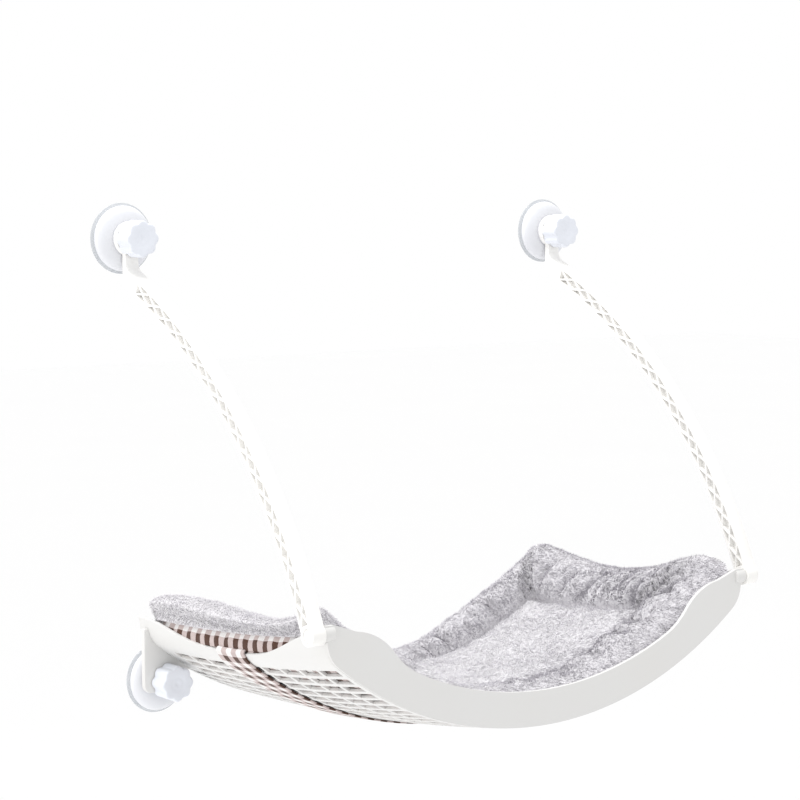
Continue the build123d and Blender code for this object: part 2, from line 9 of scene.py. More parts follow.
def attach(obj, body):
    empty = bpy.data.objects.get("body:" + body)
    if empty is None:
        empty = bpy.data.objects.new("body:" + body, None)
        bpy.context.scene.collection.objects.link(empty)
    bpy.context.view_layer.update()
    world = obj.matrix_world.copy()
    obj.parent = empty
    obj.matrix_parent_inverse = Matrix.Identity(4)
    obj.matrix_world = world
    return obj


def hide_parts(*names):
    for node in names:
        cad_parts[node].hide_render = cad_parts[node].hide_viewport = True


bl_info = {
    "name": "Window cat perch",
    "version": (1, 0, 0),
    "blender": (4, 5, 0),
    "location": "3D View > Sidebar > Perch",
    "description": "Dresses the packed perch: cushion, check cloth, moulded tray, trussed arms and cups",
    "category": "Object",
}

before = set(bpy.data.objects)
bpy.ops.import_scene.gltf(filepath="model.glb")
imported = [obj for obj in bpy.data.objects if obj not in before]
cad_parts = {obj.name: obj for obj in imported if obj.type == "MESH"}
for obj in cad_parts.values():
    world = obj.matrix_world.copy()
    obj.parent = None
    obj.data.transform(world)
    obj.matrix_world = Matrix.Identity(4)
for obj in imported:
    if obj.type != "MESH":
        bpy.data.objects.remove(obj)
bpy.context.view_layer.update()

# The tray's cradle, in metres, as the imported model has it
FLOOR_RADIUS = 0.393
ARC_RISE = 0.3443
HULL_RADIUS = 1.970
TRAY_BACK = 0.005
CURL_RADIUS = 0.030
WALL_ANGLE = radians(80)
WALL = 0.003
CURL_ANGLE = asin(
    (0.258 - CURL_RADIUS * sin(WALL_ANGLE) - 0.027 / tan(WALL_ANGLE)) / (FLOOR_RADIUS - CURL_RADIUS)
)
ARC_RUN = FLOOR_RADIUS * CURL_ANGLE
CURL_RUN = CURL_RADIUS * (WALL_ANGLE - CURL_ANGLE)
CURL_X = (FLOOR_RADIUS - CURL_RADIUS) * sin(CURL_ANGLE)
CURL_Z = ARC_RISE - (FLOOR_RADIUS - CURL_RADIUS) * cos(CURL_ANGLE)

# The slots, the rim of the end walls by its marks, the fascia and the back wall
SLOT_ROWS = 10
SLOT_PAIRS = 17
SLOT_TURN = (CURL_ANGLE - 0.0023 / FLOOR_RADIUS) / SLOT_PAIRS
SLOT_ALONG = (0.3145 - TRAY_BACK - 0.009) / SLOT_ROWS
SLOT_BAR = 0.005
SLOT_TIE = 0.004
WHOLE_FROM = 0.2004
END_LINES = 12
RIM_REACH = (0.0261, 0.1079, 0.2051, 0.2761, 0.3145)
RIM_RISE = (0.0640, 0.0504, 0.0560, 0.0830, 0.0985)
RIM_SLOPE = (-0.174, -0.045, 0.19, 0.40, 0.174)
FASCIA_Y = -0.318
FASCIA_THICK = 0.0035
FASCIA_TALL = 0.0335
FLANK_END, HAUNCH_END, SHOULDER_END = 0.152, 0.180 + 0.066j, 0.222 + 0.090j
EAR_TOP_ENDS = (0.2467, 0.262)
SHOULDER_RISE = 0.0985
BACK_WALL_TALL = 0.0265

# The brackets under the back corners, the notches over the lower cups, the hinge ears and the knobs
BRACKET_INNER, BRACKET_OUTER, BRACKET_LOW, BRACKET_CORNER = 0.208, 0.258, -0.010, 0.008
BRACKET_NEAR, BRACKET_THICK = 0.0142, 0.0058
NOTCH_RADIUS = 0.0327
EAR_RADIUS, EAR_LONG = 0.0075, 0.012
EAR_PLACE = (0.2527, -0.314, 0.091)
KNOB_BACK_Y = -0.0212
KNOB_VALLEY = 0.0028
MERGE = 0.00002

# The cups' axes (X, Z) and the body that carries each cup
PLACES = {
    "upper_left": (-0.266, 0.431, "left_arm"),
    "upper_right": (0.266, 0.431, "right_arm"),
    "lower_left": (-0.233, 0.0, "perch"),
    "lower_right": (0.233, 0.0, "perch"),
}

# The cushion's outline and the widths and heights of its rolls
BASE_TOP = FLOOR_RADIUS - 0.003 - 0.0003 - 0.015
HALF_RUN = BASE_TOP * asin(0.2480 / BASE_TOP)
BACK_Y, FRONT_Y = -0.0190, -0.3115
HALF_Y = (BACK_Y - FRONT_Y) / 2
MIDDLE_Y = (BACK_Y + FRONT_Y) / 2
CORNER = 0.023
SIDE_WIDE, BACK_WIDE, FRONT_WIDE = 0.0545, 0.0420, 0.0710
SEAM_FLOOR = 0.0030
PAD_TALL = 0.0210
END_BULGE = 0.0255
LEFT_CREST = (
    [0.020, 0.047, 0.078, 0.105, 0.148, 0.190, 0.225, 0.257, 0.295],
    [0.0360, 0.0375, 0.0390, 0.0365, 0.0325, 0.0285, 0.0265, 0.0310, 0.0460],
)
RIGHT_CREST = (
    [0.027, 0.049, 0.081, 0.113, 0.151, 0.188, 0.225, 0.261, 0.284, 0.303],
    [0.0450, 0.0440, 0.0325, 0.0225, 0.0205, 0.0240, 0.0310, 0.0400, 0.0450, 0.0460],
)
FOLD_PITCH, FINE_FOLD_PITCH = 0.040, 0.023
STRAP_Y = -0.1615
STRAND_WIDE = 0.0009
PILE_HEADING, PILE_LEAN = -1.1, 0.88

# The photograph's camera: its place, how it is turned, and its lens
CAMERA_PLACE = (-1.478, -2.019, 0.479)
CAMERA_YAW, CAMERA_PITCH, CAMERA_ROLL = radians(37.486), radians(4.998), radians(-0.236)
FOCAL_PIXELS, PHOTO_PIXELS, SENSOR = 2436.0, 800.0, 36.0


# ---------------------------------------------------------------- materials
class Socket:
    """A value in a node tree; arithmetic on it adds Math nodes."""

    def __init__(self, tree, link):
        self.tree, self.link = tree, link

    def _math(self, operation, *others):
        return self.tree.node("ShaderNodeMath", {"operation": operation}, self, *others)

    def __add__(self, other):
        return self._math("ADD", other)

    def __sub__(self, other):
        return self._math("SUBTRACT", other)

    def __mul__(self, other):
        return self._math("MULTIPLY", other)

    def __truediv__(self, other):
        return self._math("DIVIDE", other)

    def __mod__(self, other):
        return self._math("FLOORED_MODULO", other)

    def __gt__(self, other):
        return self._math("GREATER_THAN", other)

    def sine(self):
        return self._math("SINE")


class Surface:
    """A material built up from nodes round one Principled shader."""

    def __init__(self, name):
        self.material = bpy.data.materials.new(name)
        self.material.use_nodes = True
        self.nodes = self.material.node_tree.nodes
        self.shader = self.nodes["Principled BSDF"]
        self.where = self.node("ShaderNodeTexCoord", out=3)

    def feed(self, pairs):
        """Each socket gets its value, or a link from another node."""
        for socket, value in pairs:
            if isinstance(value, Socket):
                self.material.node_tree.links.new(value.link, socket)
            else:
                socket.default_value = value

    def named(self, node, values):
        """The node's inputs by name, each with its value."""
        self.feed([(node.inputs[key.replace("_", " ")], value) for key, value in values.items()])

    def node(self, kind, settings=None, *values, out=0, **named):
        """Any node: its settings are set first, then its sockets by place or by name."""
        made = self.nodes.new(kind)
        for key, value in (settings or {}).items():
            setattr(made, key, value)
        self.feed(zip(made.inputs, values))
        self.named(made, named)
        return Socket(self, made.outputs[out])

    def ramp(self, factor, stops):
        """A colour ramp with (place, colour) stops."""
        ramp = self.node("ShaderNodeValToRGB", None, factor)
        points = ramp.link.node.color_ramp.elements
        for index, (place, colour) in enumerate(stops):
            point = points[index] if index < 2 else points.new(place)
            point.position = place
            point.color = (*colour, 1.0)
        return ramp

    def mix(self, factor, first, second):
        """A blend of two colours."""
        made = self.nodes.new("ShaderNodeMix")
        made.data_type = "RGBA"
        pair = [value if isinstance(value, Socket) else (*value, 1.0) for value in (first, second)]
        self.feed(zip((made.inputs[0], made.inputs[6], made.inputs[7]), (factor, *pair)))
        return Socket(self, made.outputs[2])

    def noise(self, scale, detail=3.0, rough=0.5):
        return self.node(
            "ShaderNodeTexNoise", Vector=self.where, Scale=scale, Detail=detail, Roughness=rough
        )

    def bump(self, height, strength, distance):
        return self.node("ShaderNodeBump", Strength=strength, Distance=distance, Height=height)

    def set(self, **inputs):
        self.named(self.shader, inputs)
        return self.material


def moulded_plastic(name):
    """White injection-moulded plastic: a fine orange-peel skin, faint flow marks and a soft gloss."""
    skin = Surface(name)
    colour = tuple(getattr(bpy.context.scene.perch, name))
    warm = tuple(max(c - d, 0.0) for c, d in zip(colour, (0.015, 0.025, 0.045)))
    flow = skin.noise(9.0, 4.0)
    return skin.set(
        Base_Color=skin.mix(flow, colour, warm),
        Roughness=flow * 0.12 + (0.29 if name == "knob_plastic" else 0.36),
        Normal=skin.bump(skin.noise(900.0, 2.0), 0.02, 0.0002),
        Specular_IOR_Level=0.45,
    )


def clear_vinyl(name):
    """Soft clear vinyl of the cups, slightly blue grey."""
    skin = Surface(name)
    haze = skin.noise(60.0)
    skin.material.surface_render_method = "BLENDED"
    return skin.set(
        Base_Color=skin.mix(haze, (0.66, 0.68, 0.71), (0.52, 0.55, 0.59)),
        Roughness=haze * 0.1 + 0.12,
        Alpha=haze * 0.12 + 0.58,
        Coat_Weight=0.4,
    )


def zinc_steel(name):
    """Zinc-plated steel with fine turning marks."""
    skin = Surface(name)
    rings = skin.noise(700.0, 2.0)
    return skin.set(
        Base_Color=skin.mix(rings, (0.60, 0.61, 0.62), (0.46, 0.47, 0.49)),
        Metallic=1.0,
        Roughness=rings * 0.15 + 0.28,
        Normal=skin.bump(rings, 0.05, 0.0001),
    )


def plain_plush(name):
    """The plush's backing under the pile: short grey fluff, kept dark as painted shade between the tufts, with
    painted shade in its hollows.
    """
    skin = Surface(name)
    clump = skin.noise(140.0, 5.0, 0.65)
    # painted shade: the backing's greys stand for the shade in the gaps between the tufts, darker still in the
    # hollows of its bump
    base = skin.ramp(clump, [(0.30, (0.50, 0.485, 0.51)), (0.52, (0.66, 0.645, 0.67)), (0.75, (0.80, 0.79, 0.81))])
    return skin.set(
        Base_Color=skin.mix(skin.noise(14.0) * 0.35, base, (0.74, 0.725, 0.76)),
        Roughness=0.95,
        Normal=skin.bump(clump, 0.9, 0.004),
        Specular_IOR_Level=0.1,
        Sheen_Weight=0.4,
        Sheen_Roughness=0.6,
    )


def plush_pile(name):
    """Strands of the pile, light at the tip and darker towards the root as painted shade, with the cushion's
    painted shade carried in their colour.
    """
    skin = Surface(name)
    shade = skin.node("ShaderNodeAttribute", {"attribute_name": "strand"}, out=2)
    tone_and_shade = shade * 0.85 + skin.noise(18.0) * 0.15
    tip = tuple(bpy.context.scene.perch.pile_tip)
    return skin.set(
        Base_Color=skin.ramp(tone_and_shade, [(0.0, (0.30, 0.285, 0.32)), (0.42, (0.74, 0.725, 0.76)), (0.80, tip)]),
        Roughness=0.85,
        Specular_IOR_Level=0.15,
        Sheen_Weight=0.5,
        Sheen_Roughness=0.5,
    )


def check_cotton(name):
    """Brown and white woven check: solid squares where two brown bands cross, half tones between."""
    skin = Surface(name)
    pitch = bpy.context.scene.perch.check_pitch
    sewn = skin.node("ShaderNodeUVMap", {"uv_map": "cloth"})
    across = skin.node("ShaderNodeSeparateXYZ", None, sewn)
    down = Socket(skin, across.link.node.outputs[1])
    band_a = (across / pitch) % 1.0 > 0.5
    band_b = (down / pitch) % 1.0 > 0.5
    dark = band_a * band_b
    half = band_a + band_b - dark * 2.0
    worn = skin.noise(160.0, 4.0)
    white = skin.mix(worn, (0.93, 0.92, 0.91), (0.80, 0.78, 0.77))
    pink = skin.mix(worn, (0.66, 0.57, 0.55), (0.50, 0.41, 0.40))
    brown = skin.mix(worn, (0.095, 0.040, 0.024), (0.050, 0.022, 0.014))
    cloth = skin.mix(dark, skin.mix(half, white, pink), brown)
    threads = 3000.0
    weave = (across * threads).sine() * (down * threads).sine() * 0.5 + 0.5
    return skin.set(
        Base_Color=skin.mix(weave * 0.25, cloth, (0.09, 0.05, 0.04)),
        Roughness=0.9,
        Normal=skin.bump(weave, 0.35, 0.0004),
        Specular_IOR_Level=0.15,
        Sheen_Weight=0.2,
    )


def pale_floor(name):
    """A plain pale studio floor."""
    skin = Surface(name)
    return skin.set(
        Base_Color=skin.mix(skin.noise(0.8, 2.0), (1.0, 1.0, 1.0), (0.99, 0.99, 0.99)),
        Roughness=0.8,
        Specular_IOR_Level=0.1,
    )


MAKERS = {
    "clear_vinyl": clear_vinyl, "steel": zinc_steel, "plush_backing": plain_plush,
    "plush_pile": plush_pile, "check_cotton": check_cotton, "pale_floor": pale_floor,
}
MATERIALS = {}


def wear(piece, finish):
    """The piece gets this material alone; each material is made once."""
    if finish not in MATERIALS:
        MATERIALS[finish] = MAKERS.get(finish, moulded_plastic)(finish)
    piece.data.materials.clear()
    piece.data.materials.append(MATERIALS[finish])


# ---------------------------------------------------------------- modelling helpers
def nothing_selected():
    if bpy.context.mode != "OBJECT":
        bpy.ops.object.mode_set(mode="OBJECT")
    bpy.ops.object.select_all(action="DESELECT")


def only(piece):
    """The piece alone is selected and active."""
    nothing_selected()
    bpy.context.view_layer.objects.active = piece
    piece.select_set(True)


def rename(piece, name):
    piece.name = piece.data.name = name
    return piece


def primitive(add, name, **sizes):
    """A new primitive, alone in the selection, renamed."""
    nothing_selected()
    add(**sizes)
    return rename(bpy.context.active_object, name)


def lay_grid(name, points):
    """A grid primitive with its vertices, which run row by row, put at these points."""
    points = np.asarray(points)
    rows, columns = points.shape[:2]
    sheet = primitive(
        bpy.ops.mesh.primitive_grid_add, name, x_subdivisions=columns - 1, y_subdivisions=rows - 1, size=1.0
    )
    sheet.data.vertices.foreach_set("co", points.ravel())
    sheet.data.update()
    return sheet


def edit(piece):
    """Edit mode on one piece with all of it selected; returns its bmesh."""
    only(piece)
    bpy.ops.object.mode_set(mode="EDIT")
    bpy.ops.mesh.select_mode(type="VERT")
    bpy.ops.mesh.select_all(action="SELECT")
    return bmesh.from_edit_mesh(piece.data)


def face_outwards(merge=False):
    """All faces turned outwards, after the doubles are merged where asked."""
    bpy.ops.mesh.select_all(action="SELECT")
    if merge:
        bpy.ops.mesh.remove_doubles(threshold=MERGE)
    bpy.ops.mesh.normals_make_consistent(inside=False)


def leave(merge=False):
    """Edit mode is left with all faces turned outwards."""
    face_outwards(merge)
    bpy.ops.object.mode_set(mode="OBJECT")


def extrude(y):
    """What is selected, drawn out this far along Y."""
    bpy.ops.mesh.extrude_region_move(TRANSFORM_OT_translate={"value": (0, y, 0)})


def move(piece, place):
    """Each selected vertex of the piece in edit mode goes where place puts its point."""
    for vertex in bmesh.from_edit_mesh(piece.data).verts:
        if vertex.select:
            vertex.co = place(vertex.co)
    bmesh.update_edit_mesh(piece.data)


def pick(piece, kind, test):
    """Selects the faces or edges of the piece in edit mode that pass the test, and only those."""
    bpy.ops.mesh.select_mode(type={"faces": "FACE", "edges": "EDGE"}[kind])
    bpy.ops.mesh.select_all(action="DESELECT")
    mesh = bmesh.from_edit_mesh(piece.data)
    mesh.normal_update()
    for thing in getattr(mesh, kind):
        if test(thing):
            thing.select_set(True)
    mesh.select_flush_mode()
    bmesh.update_edit_mesh(piece.data)


def modifier(piece, kind, **settings):
    """Adds a modifier, sets it up and applies it."""
    only(piece)
    made = piece.modifiers.new(kind.title(), kind)
    for key, value in settings.items():
        setattr(made, key, value)
    bpy.ops.object.modifier_apply(modifier=made.name)


def ease(piece, width, segments, angle):
    """Edges sharper than this angle, in degrees, are rounded."""
    modifier(piece, "BEVEL", width=width, segments=segments, limit_method="ANGLE", angle_limit=radians(angle))


def smooth(piece, angle):
    only(piece)
    bpy.ops.object.shade_smooth_by_angle(angle=radians(angle))


def settle(piece):
    """The place goes into the mesh, so that the object stands at the origin."""
    only(piece)
    bpy.ops.object.transform_apply(location=True, rotation=True, scale=True)


def copy_of(piece, name):
    """A copy with its own mesh."""
    twin = piece.copy()
    twin.data = piece.data.copy()
    bpy.context.collection.objects.link(twin)
    return rename(twin, name)


def join(pieces, name):
    nothing_selected()
    for piece in pieces:
        piece.select_set(True)
    bpy.context.view_layer.objects.active = pieces[0]
    bpy.ops.object.join()
    return rename(pieces[0], name)


def finished(piece, angle, finish, body, node=None):
    """Smooth shading, the material with its slot, the body that carries the piece, and the node it replaces."""
    smooth(piece, angle)
    wear(piece, finish)
    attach(piece, body)
    if node:
        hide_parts(node)


def shift(piece, x, z):
    for vertex in piece.data.vertices:
        vertex.co.x += x
        vertex.co.z += z


def mirror_x(piece):
    """Turned to the other side of the middle, faces outwards again."""
    for vertex in piece.data.vertices:
        vertex.co.x = -vertex.co.x
    piece.data.flip_normals()


def turned(name, profile):
    """A round piece about the Y axis: its profile of (radius, depth) points is spun right round."""
    piece = primitive(bpy.ops.mesh.primitive_plane_add, name, size=0.001)
    mesh = edit(piece)
    bpy.ops.mesh.delete(type="VERT")
    line = [mesh.verts.new((radius, -depth, 0)) for radius, depth in profile]
    for pair in zip(line, line[1:]):
        mesh.edges.new(pair)
    bmesh.update_edit_mesh(piece.data)
    bpy.ops.mesh.select_all(action="SELECT")
    bpy.ops.mesh.spin(steps=72, angle=2 * pi, center=(0, 0, 0), axis=(0, 1, 0))
    leave(merge=True)
    return piece


def rounded(radius, points, steps):
    """A profile's points with each inner corner rounded off to about this radius."""
    out = [Vector(points[0])]
    for before, here, after in zip(points, points[1:], points[2:]):
        here = Vector(here)
        back, on = Vector(before) - here, Vector(after) - here
        reach = min(radius, back.length / 2.1, on.length / 2.1)
        start = here + back.normalized() * reach
        end = here + on.normalized() * reach
        for step in range(steps + 1):
            t = step / steps
            out.append(start * (1 - t) ** 2 + here * 2 * t * (1 - t) + end * t**2)
    return out + [Vector(points[-1])]


# ---------------------------------------------------------------- fixings
def put_at_cups(model, angle, name, node, finish, body=""):
    """A copy of the model stands on each cup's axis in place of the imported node; the model goes."""
    for where, (x, z, carrier) in PLACES.items():
        piece = copy_of(model, f"{name}_{where}")
        shift(piece, x, z)
        finished(piece, angle, finish, f"{body}_{where}" if body else carrier, f"{node}_{where}")
    bpy.data.objects.remove(model)


def build_cups():
    """The soft clear cups: a thin flared lip, a ribbed shoulder and the hub under the cover."""
    profile = [
        (0.0, 0.0030), (0.0085, 0.0030), (0.0085, 0.0060), (0.0036, 0.0060), (0.0036, 0.0115),
        (0.0100, 0.0115), (0.0125, 0.0090), (0.0240, 0.0045), (0.0300, 0.0030), (0.0318, 0.0030),
        (0.0325, 0.0022), (0.0340, 0.0014), (0.0340, 0.0001), (0.0305, 0.0001), (0.0240, 0.0016),
        (0.0120, 0.0018), (0.0, 0.0018),
    ]
    model = turned("cup_model", rounded(0.0012, profile, 3))
    put_at_cups(model, 50, "window_cup", "suction_cup", "clear_vinyl")


def build_covers():
    """White domed covers: rolled rim, low dome and a raised collar."""
    dome = [(0.0313, 0.0031), (0.0315, 0.0042)]
    for step in range(1, 13):
        turn = pi / 2 * step / 12
        dome.append((0.0157 + 0.0155 * cos(turn), 0.0042 + 0.0082 * sin(turn)))
    collar = [
        (0.0155, 0.0126), (0.0154, 0.0137), (0.0150, 0.0140), (0.0034, 0.0140), (0.0034, 0.0121), (0.0139, 0.0121),
    ]
    under = [(radius - 0.0018, depth - 0.0012) for radius, depth in reversed(dome[1:])]
    model = turned("cover_model", dome + collar + under + [(0.0295, 0.0031), (0.0313, 0.0031)])
    put_at_cups(model, 40, "domed_cover", "cup_cover", "cover_plastic")


def knob_point(radius, lobes, angle, y, share=1.0, even=0.0):
    """A point of the knob's edge, which has wide lobes and narrow soft valleys until it is evened out."""
    wave = sqrt(cos(lobes * angle / 2) ** 2 + 0.06)
    reach = radius - KNOB_VALLEY * (1.0296 - wave)
    reach = (reach * (1 - even) + (radius - 0.0012) * even) * share
    return Vector((reach * cos(angle), y, reach * sin(angle)))


def build_knobs(radius, lobes):
    """Star knobs: rounded lobes, rolled front edge, a shallow dish with a small centre dimple."""
    model = primitive(
        bpy.ops.mesh.primitive_circle_add, "knob_model", vertices=lobes * 14, radius=radius, fill_type="NGON"
    )
    edit(model)
    move(model, lambda at: knob_point(radius, lobes, atan2(at.y, at.x), KNOB_BACK_Y))
    # the share of the full reach, how far forward it goes, and how round the edge is there
    for share, forward, even in (
        (1.0, 0.0007, 0.0), (1.0, 0.0145, 0.0), (1.0, 0.0025, 0.0), (0.99, 0.0009, 0.0), (0.97, 0.0007, 0.0),
        (0.94, 0.0005, 0.02), (0.90, 0.0002, 0.05), (0.80, 0.0, 0.2), (0.66, -0.0001, 0.5), (0.50, -0.0003, 0.9),
        (0.42, -0.0004, 1.0), (0.30, -0.0001, 1.0), (0.16, 0.0, 1.0), (0.10, -0.0004, 1.0), (0.02, -0.0001, 1.0),
    ):
        extrude(-forward)
        move(model, lambda at: knob_point(radius, lobes, atan2(at.z, at.x), at.y, share, even))
    leave()
    put_at_cups(model, 50, "clamp_knob", "star_knob", "knob_plastic", body="knob")


# ---------------------------------------------------------------- tray
def lift(y):
    """How far the floor's lowest line has risen at this Y, a number or an array."""
    return HULL_RADIUS - np.sqrt(HULL_RADIUS**2 - np.maximum(-y - TRAY_BACK, 0.0) ** 2)


def along_cradle(run, inset, y):
    """A point of the cradle at this run along its section from the middle, this far inside its outer face."""
    side = -1 if run < 0 else 1
    past = abs(run) - ARC_RUN
    if past <= 0:
        angle, radius = abs(run) / FLOOR_RADIUS, FLOOR_RADIUS - inset
        return Vector((side * radius * sin(angle), y, ARC_RISE - radius * cos(angle) + lift(y)))
    angle = min(CURL_ANGLE + past / CURL_RADIUS, WALL_ANGLE)
    slant = max(past - CURL_RUN, 0.0)
    radius = CURL_RADIUS - inset
    x = CURL_X + radius * sin(angle) + slant * cos(WALL_ANGLE)
    z = CURL_Z - radius * cos(angle) + slant * sin(WALL_ANGLE)
    return Vector((side * x, y, z + lift(y)))


def rim_rise(y):
    """Height of the end wall's rim at this Y, a smooth curve through its five marks."""
    marks = list(zip(RIM_REACH, RIM_RISE, RIM_SLOPE))
    for (a, low, slope_a), (b, high, slope_b) in zip(marks, marks[1:]):
        if -y <= b:
            break
    span = b - a
    t = min(max((-y - a) / span, 0.0), 1.0)
    return (
        (2 * t**3 - 3 * t**2 + 1) * low + (t**3 - 2 * t**2 + t) * span * slope_a
        + (3 * t**2 - 2 * t**3) * high + (t**3 - t**2) * span * slope_b
    )


def run_to_rise(y, rise):
    """The run along the cradle's section at which its outer face reaches this height."""
    low, high = 0.0, ARC_RUN + 0.12
    for _ in range(40):
        middle = (low + high) / 2
        if along_cradle(middle, 0, y).z < rise:
            low = middle
        else:
            high = middle
    return low


def build_cradle_shell():
    """The curved floor with its rows of slots, curled up into the two end walls."""
    half = (FLOOR_RADIUS * SLOT_TURN - SLOT_BAR) / 2
    middles = [FLOOR_RADIUS * (pair + 0.5) * SLOT_TURN for pair in range(SLOT_PAIRS)]
    runs = [middle + end for middle in middles for end in (-half, half)]
    ys = [-TRAY_BACK]
    for row in range(SLOT_ROWS):
        first = TRAY_BACK + 0.007 + row * SLOT_ALONG
        last = first + SLOT_ALONG - SLOT_TIE
        ys += [-first, -(first + last) / 2 if row else -0.0145, -last]
    ys.append(-0.3150)
    points = []
    for y in reversed(ys):
        up_wall = (run_to_rise(y, rim_rise(y)) - runs[-1]) / END_LINES
        line = runs + [runs[-1] + up_wall * k for k in range(1, END_LINES + 1)]
        points.append([along_cradle(run, 0, y) for run in [-run for run in reversed(line)] + line])
    shell = lay_grid("tray_shell", points)
    rows, columns = len(points), len(points[0])
    slots = set()
    for pair, middle in enumerate(middles):
        for row in range(SLOT_ROWS):
            if row > 0 or FLOOR_RADIUS * sin(middle / FLOOR_RADIUS) <= WHOLE_FROM:
                for line in (rows - 3 - 3 * row, rows - 4 - 3 * row):
                    start = line * columns + END_LINES
                    slots |= {start + 2 * (SLOT_PAIRS - 1 - pair), start + 2 * (SLOT_PAIRS + pair)}
    edit(shell)
    pick(shell, "faces", lambda face: min(vertex.index for vertex in face.verts) in slots)
    bpy.ops.mesh.delete(type="FACE")
    face_outwards()
    mesh = bmesh.from_edit_mesh(shell.data)
    if min(mesh.faces, key=lambda face: face.calc_center_median().length).normal.z > 0:
        bpy.ops.mesh.flip_normals()
    bpy.ops.object.mode_set(mode="OBJECT")
    modifier(shell, "SOLIDIFY", thickness=WALL, offset=-1.0, use_even_offset=True)
    near, far = -0.002, BRACKET_NEAR - 0.0001
    cutter = turned("cup_notch", [(0.0, near), (NOTCH_RADIUS, near), (NOTCH_RADIUS, far), (0.0, far)])
    shift(cutter, PLACES["lower_right"][0], 0.0)
    twin = copy_of(cutter, "cup_notch_left")
    mirror_x(twin)
    notches = join([cutter, twin], "cup_notches")
    modifier(shell, "BOOLEAN", object=notches, operation="DIFFERENCE", solver="EXACT")
    bpy.data.objects.remove(notches)
    ease(shell, 0.00045, 2, 40)
    return shell


def heading_at(angle):
    """A direction as a complex number."""
    return complex(cos(angle), sin(angle))


def tangent_arc(start, heading, end, steps=12):
    """Points, as x + zi, on the circle that leaves start with this heading and meets end; the heading there."""
    chord = (end - start) / heading
    half = atan2(chord.imag, chord.real)
    shares = [step / steps for step in range(1, steps + 1)]
    points = [start + (end - start) * sin(half * t) / sin(half) * heading_at(half * (t - 1)) for t in shares]
    return points, heading * heading_at(2 * half)


def fascia_crown():
    """The fascia's upper edge from the middle to the ear, as x + zi."""
    centre = complex(0, ARC_RISE + lift(FASCIA_Y))
    radius = FLOOR_RADIUS - FASCIA_TALL
    flank = asin(FLANK_END / radius)
    points = [centre - 1j * radius * heading_at(flank * step / 16) for step in range(17)]
    haunch, heading = tangent_arc(points[-1], heading_at(flank), HAUNCH_END)
    shoulder, heading = tangent_arc(haunch[-1], heading, SHOULDER_END)
    return np.array(points + haunch + shoulder + [complex(x, SHOULDER_RISE) for x in EAR_TOP_ENDS])


def build_fascia():
    """The tall band across the front with its shoulders, a rounded lower lip and eased upper edge."""
    crown = fascia_crown()
    top_run = run_to_rise(FASCIA_Y, SHOULDER_RISE - 0.0001)
    low = np.array([along_cradle(top_run * share, 0, FASCIA_Y) for share in np.linspace(-1, 1, 257)])
    tall = np.maximum(np.interp(np.abs(low[:, 0]), crown.real, crown.imag) - low[:, 2], 0)
    points = np.tile(low, (5, 1, 1))
    points[..., 2] += np.linspace(0, 1, 5)[:, None] * tall
    fascia = lay_grid("tray_fascia", points)
    edit(fascia)
    bpy.ops.mesh.remove_doubles(threshold=MERGE)
    extrude(FASCIA_THICK)
    face_outwards()

    def across_thickness(edge):
        return [face.normal for face in edge.link_faces if abs(face.normal.y) < 0.5]

    def lower_lip(edge):
        normals = across_thickness(edge)
        if any(vertex.co.y > FASCIA_Y + 0.0001 for vertex in edge.verts) or not normals:
            return False
        outer_end = abs(normals[0].x) > 0.9 and edge.verts[0].co.x * normals[0].x > 0
        return normals[0].z < -0.05 or outer_end

    def upper_edge(edge):
        normals = across_thickness(edge)
        return len(normals) == 1 and normals[0].z > 0.3

    pick(fascia, "edges", lower_lip)
    bpy.ops.mesh.bevel(offset=0.0025, segments=5, profile=0.5, affect="EDGES", clamp_overlap=True)
    pick(fascia, "edges", upper_edge)
    bpy.ops.mesh.bevel(offset=0.0007, segments=3, profile=0.5, affect="EDGES", clamp_overlap=True)
    bpy.ops.object.mode_set(mode="OBJECT")
    return fascia


def build_back_wall():
    """The low wall along the back, level with the end walls' corners."""
    insets = [WALL / 2 + BACK_WALL_TALL * row / 4 for row in range(5)]
    runs = [ARC_RUN * column / 48 for column in range(-48, 49)]
    points = [[along_cradle(run, inset, -TRAY_BACK) for run in runs] for inset in insets]
    wall = lay_grid("tray_back_wall", points)
    edit(wall)
    extrude(-WALL)
    leave()
    ease(wall, 0.0006, 3, 40)
    return wall


def build_bracket():
    """The plate under a back corner that the lower knob clamps, its lower corners rounded."""
    outline = []
    low = BRACKET_LOW + BRACKET_CORNER
    for x, first in ((BRACKET_OUTER - BRACKET_CORNER, 0), (BRACKET_INNER + BRACKET_CORNER, -90)):
        for step in range(9):
            turn = radians(first - 90 * step / 8)
            outline.append((x + BRACKET_CORNER * cos(turn), low + BRACKET_CORNER * sin(turn)))
    inner = FLOOR_RADIUS * asin(BRACKET_INNER / (FLOOR_RADIUS - WALL / 2))
    runs = [inner + (ARC_RUN - inner) * step / 8 for step in range(9)]
    runs += [ARC_RUN + CURL_RUN * step / 8 for step in range(1, 9)]
    outline += [along_cradle(run, WALL / 2, -TRAY_BACK).xz for run in runs]
    outline.append((BRACKET_OUTER, outline[-1][1]))
    plate = primitive(
        bpy.ops.mesh.primitive_circle_add, "tray_bracket", vertices=len(outline), radius=1.0, fill_type="NGON"
    )
    order = sorted(edit(plate).verts, key=lambda vertex: atan2(vertex.co.y, vertex.co.x))
    for vertex, (x, z) in zip(order, outline):
        vertex.co = (x, -BRACKET_NEAR, z)
    bmesh.update_edit_mesh(plate.data)
    extrude(-BRACKET_THICK)
    leave()
    ease(plate, 0.0008, 3, 50)
    return plate


def build_ear():
    """The hinge ear inside an arm, with an eased edge."""
    ear = primitive(
        bpy.ops.mesh.primitive_cylinder_add, "tray_ear",
        vertices=48, radius=EAR_RADIUS, depth=EAR_LONG, location=EAR_PLACE, rotation=(0, pi / 2, 0),
    )
    settle(ear)
    ease(ear, 0.0005, 2, 50)
    return ear


